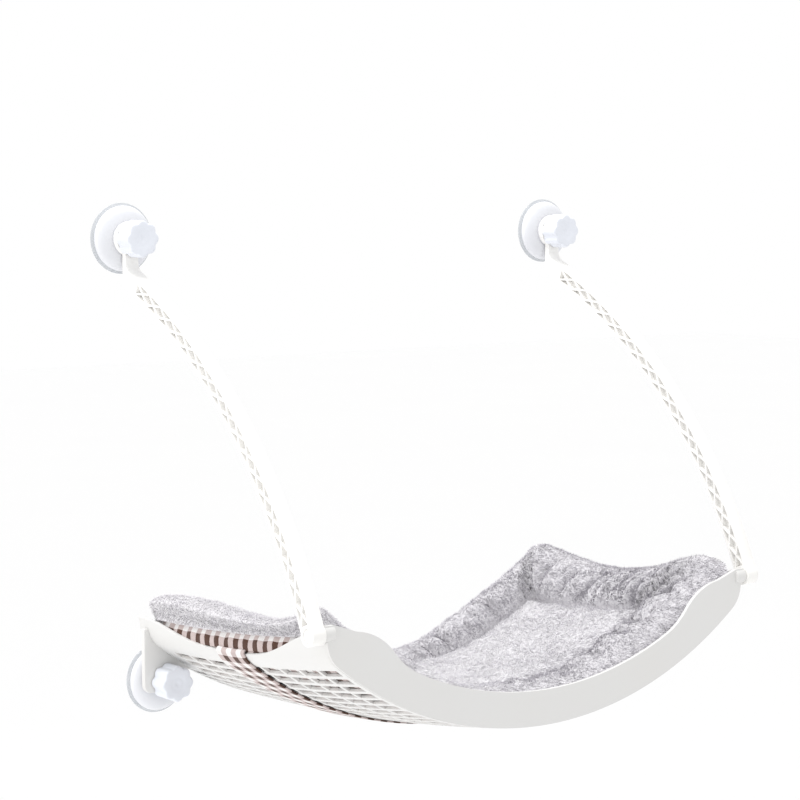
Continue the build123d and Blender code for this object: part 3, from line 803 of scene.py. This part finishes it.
def build_tray():
    """The moulding of the cradle, its fascia and back wall, and a bracket and an ear on each side."""
    pieces = [build_cradle_shell(), build_fascia(), build_back_wall()]
    for right in (build_bracket(), build_ear()):
        left = copy_of(right, right.name + "_left")
        mirror_x(left)
        pieces += [right, left]
    finished(join(pieces, "cradle_tray"), 32, "tray_plastic", "perch", "tray")


def build_arms():
    """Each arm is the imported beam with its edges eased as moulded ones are."""
    for side in ("left", "right"):
        arm = copy_of(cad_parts[f"support_arm_{side}"], f"swing_arm_{side}")
        edit(arm)
        bpy.ops.mesh.remove_doubles(threshold=MERGE)
        bpy.ops.mesh.select_all(action="SELECT")
        bpy.ops.mesh.dissolve_limited(angle_limit=radians(0.6))
        bpy.ops.object.mode_set(mode="OBJECT")
        ease(arm, 0.00035, 2, 50)
        finished(arm, 32, "arm_plastic", f"{side}_arm", f"support_arm_{side}")


# ---------------------------------------------------------------- cushion
def over_base(run, y, height):
    """Points this far above the base's top, at this run across the dished cushion."""
    angle, radius = run / BASE_TOP, BASE_TOP - height
    return np.stack([radius * np.sin(angle), y, ARC_RISE - radius * np.cos(angle) + lift(y)], axis=-1)


def plan_grid(columns, rows):
    """A grid over the cushion's rounded oblong, closer toward its edge: the run and Y of each point."""
    u, v = np.linspace(-1, 1, columns), np.linspace(-1, 1, rows)
    u, v = (np.sign(line) * (1 - (1 - np.abs(line)) ** 1.25) for line in (u, v))
    x, y = np.meshgrid(u * HALF_RUN, v * HALF_Y)
    inner_x, inner_y = HALF_RUN - CORNER, HALF_Y - CORNER
    dx = np.clip(np.abs(x) - inner_x, 0, None)
    dy = np.clip(np.abs(y) - inner_y, 0, None)
    shrink = np.maximum(dx, dy) / np.maximum(np.hypot(dx, dy), 1e-9)
    x = np.sign(x) * (np.minimum(np.abs(x), inner_x) + dx * shrink)
    y = np.sign(y) * (np.minimum(np.abs(y), inner_y) + dy * shrink)
    return x, y + MIDDLE_Y


def edge_distance(x, y):
    """How far inside the rounded oblong each point lies."""
    qx = np.abs(x) - (HALF_RUN - CORNER)
    qy = np.abs(y - MIDDLE_Y) - (HALF_Y - CORNER)
    outside = np.hypot(np.clip(qx, 0, None), np.clip(qy, 0, None))
    return np.clip(CORNER - (outside + np.minimum(np.maximum(qx, qy), 0)), 0, None)


def ripple(x, y, scale, seed):
    """Smooth seeded noise at these points, about -1..1."""
    values = [noise.noise((a / scale, b / scale, seed)) for a, b in zip(x.ravel(), y.ravel())]
    return np.array(values).reshape(x.shape)


def step_up(value, low, high):
    """0 below low, 1 above high, smooth between."""
    share = np.clip((value - low) / (high - low), 0, 1)
    return share * share * (3 - 2 * share)


def bell(value, width):
    return np.exp(-((value / width) ** 2))


def plush_form(x, y):
    """The plush over the base: bolsters round a stitched oblong, then a crowned pad.
    Gives the place of each point, how near the seam it is and how much painted shade darkens the pile there."""
    lump, fine, wander = ripple(x, y, 0.050, 3.1), ripple(x, y, 0.018, 7.7), ripple(x, y, 0.035, 12.4)

    # the share of the way from the edge in to the seam, with rounded corners
    border = edge_distance(x, y)
    share_side = (HALF_RUN - np.abs(x)) / SIDE_WIDE
    share_back = (BACK_Y - y) / BACK_WIDE
    share_front = (y - FRONT_Y) / FRONT_WIDE
    by_length = np.minimum(share_back, share_front)
    nearest = np.minimum(share_side, by_length)
    at_back = share_back < share_front
    rim_width = np.where(share_side <= by_length, SIDE_WIDE, np.where(at_back, BACK_WIDE, FRONT_WIDE))
    fullness = np.where(y < MIDDLE_Y, 8.0, 5.0)
    past_side, past_length = np.clip(1 - share_side, 0, None), np.clip(1 - by_length, 0, None)
    corner_share = 1 - (past_side**fullness + past_length**fullness) ** (1 / fullness)
    share = np.where(nearest < 1, corner_share, nearest)
    share = np.clip(np.minimum(share, border / rim_width * 1.6) + 0.020 * wander, 0, None)
    share = np.where(border <= 1e-9, 0.0, share)

    # the bolsters: a roll as tall as its crest, with pleats and a crease across each corner
    crest = np.where(x < 0, np.interp(-y, *LEFT_CREST), np.interp(-y, *RIGHT_CREST))
    toward_end = step_up(np.abs(x), 0.085, 0.150)
    to_side = step_up(by_length - share_side, -0.35, 0.35)
    tall = np.where(at_back, 0.0270 + 0.0080 * toward_end, 0.0215 + 0.0085 * toward_end)
    tall = tall * (1 - to_side) + crest * to_side
    crease = bell(share_side - by_length, 0.20) * (nearest < 1.0) * step_up(share, 0.35, 0.9)
    roll = np.clip(1 - np.abs(2 * np.clip(share, 0, 1) - 1) ** 2.1, 0, 1) ** 0.5
    along = x * (1 - to_side) + y * to_side
    fold = np.cos(2 * pi * along / FOLD_PITCH + 3.2 * ripple(x, y, 0.055, 5.5))
    fold += 0.7 * np.cos(2 * pi * along / FINE_FOLD_PITCH + 3.0 * ripple(x, y, 0.030, 8.3))
    fold_room = step_up(share, 0.25, 0.75) * step_up(1.30 - share, 0.0, 0.35)
    pleat = step_up(-fold, 0.55, 1.45) * fold_room
    bolster = tall * roll * (1 + 0.07 * lump) - 0.0030 * crease
    bolster += 0.0024 * fold * fold_room - 0.0050 * pleat

    # the pad inside the seam, crowned toward its middle
    from_seam = (share - 1) * rim_width
    inner = np.clip(from_seam, 0, None)
    pad = SEAM_FLOOR + (PAD_TALL - SEAM_FLOOR) * (1 - np.exp(-inner / 0.0085))
    pad += 0.0035 * np.clip(1 - (x / 0.20) ** 2, 0, 1) * np.clip(1 - ((y - MIDDLE_Y) / 0.10) ** 2, 0, 1)
    pad += 0.0026 * lump * np.clip(inner / 0.03, 0, 1) + 0.0008 * fine * np.clip(inner / 0.02, 0, 1)
    pad += 0.0020 * fold * np.exp(-inner / 0.016) * step_up(inner, 0.001, 0.006)
    blend_in = 1 / (1 + np.exp(-(share - 1.0) / 0.020))
    height = np.maximum(bolster, SEAM_FLOOR * np.clip(share / 0.2, 0, 1)) * (1 - blend_in) + pad * blend_in
    place = over_base(x, y, np.maximum(height, 0.0009))

    # the rolls swell out past the base at the ends and toward the back
    bulge = np.interp(
        share, [0, 0.04, 0.10, 0.20, 0.35, 0.55, 0.80, 1.0], [0.15, 0.6, 0.95, 1.0, 0.75, 0.40, 0.10, 0.0]
    )
    puff = np.interp(share, [0, 0.1, 0.25, 0.4, 0.7, 1.0], [0, 0.5, 1.0, 0.9, 0.3, 0])
    end_share = step_up(by_length - share_side, -0.9, 0.0)
    place[..., 0] += np.sign(x) * END_BULGE * bulge * end_share
    place[..., 1] += 0.0130 * bulge * step_up(1.0 - share_back, 0.0, 0.7)
    place[..., 2] += 0.18 * crest * puff * end_share

    # painted shade in the pile's colour: in the seam's crease, the pleats and the corner creases, where shade
    # falls; on the rolls' inner slopes, the right-hand rolls and the front and end rolls, which face away from the
    # lamps; the left end's outer flank is painted lighter, toward them
    near_seam = bell(from_seam, 0.0065)
    painted_shade = 0.65 * near_seam + 0.36 * bell(from_seam, 0.015) + 0.50 * pleat
    rolled = step_up(1.05 - share, 0.0, 0.1)
    painted_shade += rolled * (0.25 * step_up(share, 0.35, 0.60) + 0.34 * step_up(x, -0.05, 0.10)) + 0.10 * crease
    painted_shade += rolled * (np.where(at_back, 0.0, 0.20) - 0.14 * step_up(-x, 0.14, 0.20))
    return hold_in(place, 0.0012), near_seam, painted_shade


def hold_in(place, margin):
    """Keeps points inside the end walls below their rim, a little past them above it, and off both long walls."""
    rim = np.interp(-place[..., 1], RIM_REACH, RIM_RISE)
    past = 0.0075 - 0.0030 * step_up(-place[..., 1], 0.235, 0.265)
    room = 0.2537 + past * step_up(place[..., 2] - rim, 0.0, 0.005) - margin
    place[..., 0] = np.clip(place[..., 0], -room, room)
    place[..., 1] = np.clip(place[..., 1], -0.3146 + margin / 2, -0.0080 - margin)
    return place


def cloth_layer(piece, across, down):
    """Writes the cloth's own UV map from each vertex's place across and down the flat cloth."""
    layer = piece.data.uv_layers.new(name="cloth")
    loops = np.empty(len(piece.data.loops), dtype=np.int64)
    piece.data.loops.foreach_get("vertex_index", loops)
    places = np.stack(np.broadcast_arrays(across, down), axis=-1).reshape(-1, 2)
    layer.data.foreach_set("uv", places.astype(np.float32)[loops].ravel())


def stuffed(name, top, under):
    """Two grids, one over the other, bridged round their edge into one closed cushion."""
    upper, lower = lay_grid(name, top), lay_grid(name + "_under", under)
    for layer, up in ((upper, True), (lower, False)):
        if (layer.data.polygons[len(layer.data.polygons) // 2].normal.z > 0) != up:
            layer.data.flip_normals()
    piece = join([upper, lower], name)
    edit(piece)
    pick(piece, "edges", lambda edge: edge.is_boundary)
    bpy.ops.mesh.bridge_edge_loops()
    leave()
    return piece


def build_plush():
    """The plush top: crowned pad, stitched seam and puffed bolsters, closed underneath."""
    x, y = plan_grid(301, 181)
    top, near_seam, painted_shade = plush_form(x, y)
    flat = over_base(x * 0.992, (y - MIDDLE_Y) * 0.985 + MIDDLE_Y, 0.0005)
    plush = stuffed("plush_cushion", top, flat)
    finished(plush, 60, "plush_backing", "perch", "cushion_plush_top")
    return top, x, y, near_seam, painted_shade


def build_check_base():
    """The check cotton base under the plush, its sides rounded."""
    x, y = plan_grid(141, 91)
    edge = np.clip(1 - edge_distance(x, y) / 0.011, 0, 1) ** 2
    x *= 0.985
    top = over_base(x, y, -0.0004 - 0.0052 * edge)
    draw_in = (y - MIDDLE_Y) * (1 - 0.035 * edge) + MIDDLE_Y
    under = over_base(x * (1 - 0.020 * edge), draw_in, -0.0146 + 0.0075 * edge)
    base = stuffed("check_base", top, under)
    place = np.empty(len(base.data.vertices) * 3)
    base.data.vertices.foreach_get("co", place)
    x, y, z = place.reshape(-1, 3).T
    drop = ARC_RISE + 0.012 - z
    cloth_layer(base, np.arctan2(x, drop) * BASE_TOP, y + BASE_TOP - np.hypot(x, drop))
    finished(base, 60, "check_cotton", "perch", "cushion_check_base")


def build_side_band():
    """The gathered check cloth that joins the base to the plush round its edge, with its piping."""
    straight_x, straight_y = HALF_RUN - CORNER, HALF_Y - CORNER
    bend = pi / 2 * CORNER
    marks = np.cumsum([0] + [2 * straight_y, bend, 2 * straight_x, bend] * 2)
    along = np.linspace(0, marks[-1], 721)
    turn = pi / 2 * np.interp(along, marks, [0, 0, 1, 1, 2, 2, 3, 3, 4])
    out_x, out_y = np.cos(turn), np.sin(turn)
    x = straight_x * np.interp(along, marks, [1, 1, 1, -1, -1, -1, -1, 1, 1]) + CORNER * out_x
    y = straight_y * np.interp(along, marks, [-1, 1, 1, 1, 1, -1, -1, -1, -1]) + CORNER * out_y + MIDDLE_Y
    pucker = 0.0007 * np.sin(along / marks[-1] * 2 * pi * 74) + 0.0006 * ripple(x, y, 1 / 60, 2.2)
    levels, swell, gathered = np.array([
        (-0.0125, -0.0075, 0.4), (-0.0100, -0.0045, 0.4), (-0.0070, -0.0022, 1.0), (-0.0040, -0.0010, 1.0),
        (-0.0010, -0.0004, 1.0), (0.0015, -0.0002, 1.0), (0.0035, -0.0008, 0.4), (0.0045, -0.0020, 0.4),
    ]).T[..., None]
    out = swell + pucker * gathered - 0.0012
    band = lay_grid("check_side_band", over_base(x + out_x * out, y + out_y * out, levels))
    cloth_layer(band, along, levels + 0.0045)
    if max(band.data.polygons, key=lambda face: face.center.x).normal.x < 0:
        band.data.flip_normals()
    edit(band)
    leave(merge=True)
    modifier(band, "SOLIDIFY", thickness=0.0007, offset=-1.0)
    finished(band, 60, "check_cotton", "perch")


def build_strap(width, thick):
    """The check strap: from inside each end wall, over the rim's dip and right round under the floor."""
    inner, outer = 0.0042, -0.0013
    centre, reach = (inner + outer) / 2, (inner - outer) / 2
    across = np.linspace(0, width, 9)
    points = []
    for y in STRAP_Y + width / 2 - across:
        rim = run_to_rise(y, rim_rise(y)) + 0.0006
        low = ARC_RUN - 0.008
        side = [(low + (rim - low) * k / 10, inner) for k in range(10)]
        side += [(rim + reach * 1.1 * sin(pi * k / 8), centre + reach * cos(pi * k / 8)) for k in range(9)]
        side += [(rim * (1 - k / 70), outer) for k in range(1, 71)]
        side += [(-run, inset) for run, inset in reversed(side[:-1])]
        points.append([along_cradle(run, inset, y) for run, inset in side])
    along = [0.0]
    for here, there in zip(points[4], points[4][1:]):
        along.append(along[-1] + (there - here).length)
    strap = lay_grid("check_strap", points)
    cloth_layer(strap, across[:, None], along)
    if min(strap.data.polygons, key=lambda face: face.center.z).normal.z > 0:
        strap.data.flip_normals()
    modifier(strap, "SOLIDIFY", thickness=thick, offset=0.0)
    ease(strap, 0.0003, 2, 50)
    finished(strap, 50, "check_cotton", "perch", "cushion_strap")


# ---------------------------------------------------------------- pile
def model_tuft(length):
    """One strand of pile, a narrow tapered blade that curls over at its tip: its points and faces."""
    tuft = primitive(bpy.ops.mesh.primitive_plane_add, "pile_tuft", size=STRAND_WIDE)
    edit(tuft)
    pick(tuft, "edges", lambda edge: all(vertex.co.y > 0 for vertex in edge.verts))
    for grow, narrow in ((0.30, 0.85), (0.33, 0.30)):
        extrude(length * grow)
        move(tuft, lambda at: (at.x * narrow, at.y, at.z))
    bpy.ops.object.mode_set(mode="OBJECT")
    blade = np.array([vertex.co[:] for vertex in tuft.data.vertices])
    blade[:, 1] += STRAND_WIDE / 2
    blade[:, 2] = 0.12 * length * (blade[:, 1] / length) ** 2
    faces = [list(face.vertices) for face in tuft.data.polygons]
    bpy.data.objects.remove(tuft)
    return blade, faces


def unit(vectors):
    return vectors / np.maximum(np.linalg.norm(vectors, axis=-1, keepdims=True), 1e-9)


def pile_piece(name, points, shade, faces):
    """One object with all these tufts, each a row of points, and their shades."""
    base = np.arange(len(points))[:, None] * points.shape[1]
    loops = np.concatenate([(np.array(face)[None, :] + base).ravel() for face in faces])
    sizes = np.concatenate([np.full(len(points), len(face)) for face in faces])
    mesh = bpy.data.meshes.new(name)
    mesh.vertices.add(points.shape[0] * points.shape[1])
    mesh.vertices.foreach_set("co", points.ravel())
    mesh.loops.add(len(loops))
    mesh.loops.foreach_set("vertex_index", loops.astype(np.int32))
    mesh.polygons.add(len(sizes))
    mesh.polygons.foreach_set("loop_start", (np.cumsum(sizes) - sizes).astype(np.int32))
    mesh.polygons.foreach_set("loop_total", sizes.astype(np.int32))
    mesh.update(calc_edges=True)
    mesh.validate()
    mesh.attributes.new("strand", "FLOAT", "POINT").data.foreach_set("value", shade.ravel().astype(np.float32))
    pile = bpy.data.objects.new(name, mesh)
    bpy.context.collection.objects.link(pile)
    finished(pile, 80, "plush_pile", "perch")


def build_pile(surface, x, y, near_seam, painted_shade, count, length):
    """Tufts planted all over the plush, leaning as the pile lies and parting at the seams, their colour carrying
    painted shade.
    """
    blade, faces = model_tuft(length)
    normal = np.cross(np.gradient(surface, axis=1), np.gradient(surface, axis=0))
    area = np.linalg.norm(normal, axis=-1)
    normal /= np.maximum(area[..., None], 1e-12)
    if normal[normal.shape[0] // 2, normal.shape[1] // 2, 2] < 0:
        normal = -normal
    rng = np.random.default_rng(11)
    weight = area[:-1, :-1].ravel()
    cells = rng.choice(weight.size, size=count, p=weight / weight.sum())
    rows, columns = np.divmod(cells, x.shape[1] - 1)
    a, b = rng.random(count), rng.random(count)

    def sample(field):
        """The field's value at each root, between the four corners of its cell."""
        fa, fb = (a[:, None], b[:, None]) if field.ndim == 3 else (a, b)
        return (
            field[rows, columns] * (1 - fa) * (1 - fb) + field[rows, columns + 1] * fa * (1 - fb)
            + field[rows + 1, columns] * (1 - fa) * fb + field[rows + 1, columns + 1] * fa * fb
        )

    root, up = sample(surface), unit(sample(normal))
    px, py = sample(x), sample(y)
    swirl, clump, speck = ripple(px, py, 0.05, 1.3), ripple(px, py, 0.009, 9.1), ripple(px, py, 0.0035, 4.7)
    heading = PILE_HEADING + 0.6 * swirl + 0.25 * clump + rng.normal(0, 0.22, count)
    flat = np.stack([np.cos(heading), np.sin(heading), np.zeros(count)], axis=-1)
    flat = unit(flat - up * np.sum(flat * up, axis=-1, keepdims=True))
    lean = np.clip(rng.normal(PILE_LEAN, 0.20, count) + 0.35 * clump, 0.30, 1.30)
    grow = up * np.cos(lean)[:, None] + flat * np.sin(lean)[:, None]
    side = unit(np.cross(grow, up))
    droop = np.cross(side, grow)
    scale = rng.uniform(0.7, 1.2, count) * (1 - 0.65 * sample(near_seam))
    thick = rng.uniform(0.7, 1.3, count)
    points = (root - up * 0.0006)[:, None, :]
    for column, axis, stretch in ((0, side, thick), (1, grow, scale), (2, droop, scale)):
        points = points + axis[:, None, :] * (blade[None, :, column] * stretch[:, None])[..., None]
    points = hold_in(points, 0.0002)

    # painted shade: pile on slopes turned from the cradle's middle is darkened, as pile seen side-on looks, and
    # the cushion's painted shade is taken off the tone, which otherwise varies at random in clumps and specks
    crown = unit(np.stack([-root[:, 0], np.zeros(count), ARC_RISE - root[:, 2]], axis=-1))
    flank = np.clip(0.93 - np.sum(up * crown, axis=-1), 0, 0.4)
    tone_and_shade = 0.96 + 0.26 * clump + 0.48 * speck + 0.10 * swirl + rng.normal(0, 0.13, count)
    tone_and_shade = np.clip(tone_and_shade - sample(painted_shade) - 0.20 * flank, 0.0, 1.0)
    # painted shade: each blade is darker towards its root, where the pile shades itself
    up_blade = np.clip(blade[:, 1] / length, 0, 1)
    shade = np.clip(tone_and_shade[:, None] * (0.32 + 0.85 * up_blade[None, :]), 0, 1)
    quarter = np.searchsorted(np.quantile(px, (0.25, 0.5, 0.75)), px, side="right")
    for index, part in enumerate(("left", "mid_left", "mid_right", "right")):
        pile_piece(f"plush_pile_{part}", points[quarter == index], shade[quarter == index], faces)


# ---------------------------------------------------------------- stage
def build_stage():
    """A wide pale floor, soft studio lamps and the camera at the photograph's place."""
    floor_piece = primitive(bpy.ops.mesh.primitive_plane_add, "studio_floor", size=60.0, location=(0, 0, -2.2))
    settle(floor_piece)
    wear(floor_piece, "pale_floor")
    for name, place, aim, power, size, tint in (
        ("window_glow", (-0.5, 2.4, 2.2), (0, -0.1, 0.1), 8.0, 2.2, (0.97, 0.98, 1.0)),
        ("top_softbox", (-0.7, 0.1, 2.6), (0, -0.15, 0.15), 46.0, 1.6, (1.0, 0.995, 0.99)),
        ("left_softbox", (-2.6, 0.1, -0.5), (0, -0.15, 0.10), 16.0, 1.6, (1.0, 0.99, 0.975)),
    ):
        nothing_selected()
        bpy.ops.object.light_add(type="AREA", location=place)
        lamp = bpy.context.active_object
        lamp.name = name
        lamp.data.energy = power
        lamp.data.size = size
        lamp.data.color = tint
        lamp.rotation_euler = (Vector(aim) - Vector(place)).to_track_quat("-Z", "Y").to_euler()
    world = bpy.data.worlds.new("studio_world")
    world.use_nodes = True
    colour, strength = world.node_tree.nodes["Background"].inputs[:2]
    colour.default_value = (1.0, 1.0, 1.0, 1.0)
    strength.default_value = 1.0
    scene = bpy.context.scene
    scene.world = world
    scene.view_settings.view_transform = "Standard"
    level = cos(CAMERA_PITCH)
    ahead = Vector((sin(CAMERA_YAW) * level, cos(CAMERA_YAW) * level, -sin(CAMERA_PITCH)))
    right = Vector((cos(CAMERA_YAW), -sin(CAMERA_YAW), 0.0))
    up = right.cross(ahead)
    c, s = cos(CAMERA_ROLL), sin(CAMERA_ROLL)
    right, up = right * c + up * s, up * c - right * s
    nothing_selected()
    bpy.ops.object.camera_add()
    camera = bpy.context.active_object
    camera.name = "photo_camera"
    camera.data.sensor_width = SENSOR
    camera.data.lens = FOCAL_PIXELS / PHOTO_PIXELS * SENSOR
    camera.data.clip_end = 100.0
    turn = Matrix((right, up, -ahead)).transposed()
    camera.matrix_world = Matrix.Translation(CAMERA_PLACE) @ turn.to_4x4()
    scene.camera = camera


# ---------------------------------------------------------------- add-on
class PerchSettings(bpy.types.PropertyGroup):
    # painted shade: the tray's white plastic is set greyer than the arms', standing for the shade on its fascia,
    # which faces away from the lamps
    tray_plastic: bpy.props.FloatVectorProperty(
        name="Tray colour", description="Colour of the moulded tray",
        subtype="COLOR", size=3, min=0.0, max=1.0, default=(0.715, 0.715, 0.715),
    )
    arm_plastic: bpy.props.FloatVectorProperty(
        name="Arm colour", description="Colour of the two arms",
        subtype="COLOR", size=3, min=0.0, max=1.0, default=(0.90, 0.895, 0.885),
    )
    white_plastic: bpy.props.FloatVectorProperty(
        name="Pin colour", description="Colour of the two pivot pins",
        subtype="COLOR", size=3, min=0.0, max=1.0, default=(0.80, 0.795, 0.785),
    )
    cover_plastic: bpy.props.FloatVectorProperty(
        name="Cover colour", description="Colour of the cups' domed covers",
        subtype="COLOR", size=3, min=0.0, max=1.0, default=(0.75, 0.765, 0.81),
    )
    knob_plastic: bpy.props.FloatVectorProperty(
        name="Knob colour", description="Colour of the star knobs",
        subtype="COLOR", size=3, min=0.0, max=1.0, default=(0.76, 0.79, 0.86),
    )
    pile_tip: bpy.props.FloatVectorProperty(
        name="Pile colour", description="Colour of the pile's tips",
        subtype="COLOR", size=3, min=0.0, max=1.0, default=(1.0, 0.995, 1.0),
    )
    check_pitch: bpy.props.FloatProperty(
        name="Check pitch", description="One brown and one white band of the check",
        default=0.016, min=0.005, max=0.05, unit="LENGTH",
    )
    knob_radius: bpy.props.FloatProperty(
        name="Knob radius", description="Radius over the lobes of a star knob",
        default=0.0178, min=0.010, max=0.018, unit="LENGTH",
    )
    knob_lobes: bpy.props.IntProperty(
        name="Knob lobes", description="How many rounded lobes a star knob has", default=8, min=5, max=12,
    )
    pile_length: bpy.props.FloatProperty(
        name="Pile length", description="Length of a strand of the plush",
        default=0.0038, min=0.003, max=0.012, unit="LENGTH",
    )
    pile_tufts: bpy.props.IntProperty(
        name="Pile tufts", description="How many tufts are planted over the plush",
        default=120000, min=1000, max=130000,
    )
    strap_width: bpy.props.FloatProperty(
        name="Strap width", description="Width of the strap round the tray",
        default=0.045, min=0.02, max=0.05, unit="LENGTH",
    )
    strap_thick: bpy.props.FloatProperty(
        name="Strap thickness", description="Thickness of the strap's doubled cloth",
        default=0.0015, min=0.0008, max=0.0016, unit="LENGTH",
    )


class PERCH_OT_stage(bpy.types.Operator):
    """Set the floor, the lamps and the camera"""

    bl_idname = "perch.stage"
    bl_label = "Studio stage"

    def execute(self, context):
        build_stage()
        return {"FINISHED"}


class PERCH_OT_fittings(bpy.types.Operator):
    """Dress the studs, washers, nuts and pivot pins"""

    bl_idname = "perch.fittings"
    bl_label = "Metal fittings and pins"

    def execute(self, context):
        for where in PLACES:
            for fitting in ("stud", "washer", "knob_nut"):
                wear(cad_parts[f"{fitting}_{where}"], "steel")
        for side in ("left", "right"):
            wear(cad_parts[f"pivot_pin_{side}"], "white_plastic")
        return {"FINISHED"}


class PERCH_OT_cups(bpy.types.Operator):
    """Model the four clear suction cups"""

    bl_idname = "perch.cups"
    bl_label = "Suction cups"

    def execute(self, context):
        build_cups()
        return {"FINISHED"}


class PERCH_OT_covers(bpy.types.Operator):
    """Model the four domed covers"""

    bl_idname = "perch.covers"
    bl_label = "Domed covers"

    def execute(self, context):
        build_covers()
        return {"FINISHED"}


class PERCH_OT_knobs(bpy.types.Operator):
    """Model the four star knobs"""

    bl_idname = "perch.knobs"
    bl_label = "Star knobs"

    def execute(self, context):
        build_knobs(context.scene.perch.knob_radius, context.scene.perch.knob_lobes)
        return {"FINISHED"}


class PERCH_OT_tray(bpy.types.Operator):
    """Model the slotted cradle tray with its fascia, ears and brackets"""

    bl_idname = "perch.tray"
    bl_label = "Cradle tray"

    def execute(self, context):
        build_tray()
        return {"FINISHED"}


class PERCH_OT_arms(bpy.types.Operator):
    """Ease the edges of the two trussed arms"""

    bl_idname = "perch.arms"
    bl_label = "Swing arms"

    def execute(self, context):
        build_arms()
        return {"FINISHED"}


class PERCH_OT_cushion(bpy.types.Operator):
    """Model the check base, its side band and the plush top with its pile"""

    bl_idname = "perch.cushion"
    bl_label = "Cushion"

    def execute(self, context):
        build_check_base()
        fields = build_plush()
        build_side_band()
        build_pile(*fields, context.scene.perch.pile_tufts, context.scene.perch.pile_length)
        return {"FINISHED"}


class PERCH_OT_strap(bpy.types.Operator):
    """Model the strap that holds the cushion to the tray"""

    bl_idname = "perch.strap"
    bl_label = "Strap"

    def execute(self, context):
        build_strap(context.scene.perch.strap_width, context.scene.perch.strap_thick)
        return {"FINISHED"}


OPERATORS = (
    PERCH_OT_stage, PERCH_OT_fittings, PERCH_OT_cups, PERCH_OT_covers, PERCH_OT_knobs,
    PERCH_OT_tray, PERCH_OT_arms, PERCH_OT_cushion, PERCH_OT_strap,
)


class PERCH_PT_panel(bpy.types.Panel):
    """The perch's settings and its makers"""

    bl_label = "Window cat perch"
    bl_idname = "PERCH_PT_panel"
    bl_space_type = "VIEW_3D"
    bl_region_type = "UI"
    bl_category = "Perch"

    def draw(self, context):
        for name in PerchSettings.__annotations__:
            self.layout.prop(context.scene.perch, name)
        for maker in OPERATORS:
            self.layout.operator(maker.bl_idname)


def register():
    for kind in (PerchSettings, *OPERATORS, PERCH_PT_panel):
        bpy.utils.register_class(kind)
    bpy.types.Scene.perch = bpy.props.PointerProperty(type=PerchSettings)


def unregister():
    del bpy.types.Scene.perch
    for kind in reversed((PerchSettings, *OPERATORS, PERCH_PT_panel)):
        bpy.utils.unregister_class(kind)


def main():
    register()
    for maker in OPERATORS:
        group, name = maker.bl_idname.split(".")
        getattr(getattr(bpy.ops, group), name)()
    nothing_selected()


if __name__ == "__main__":
    main()
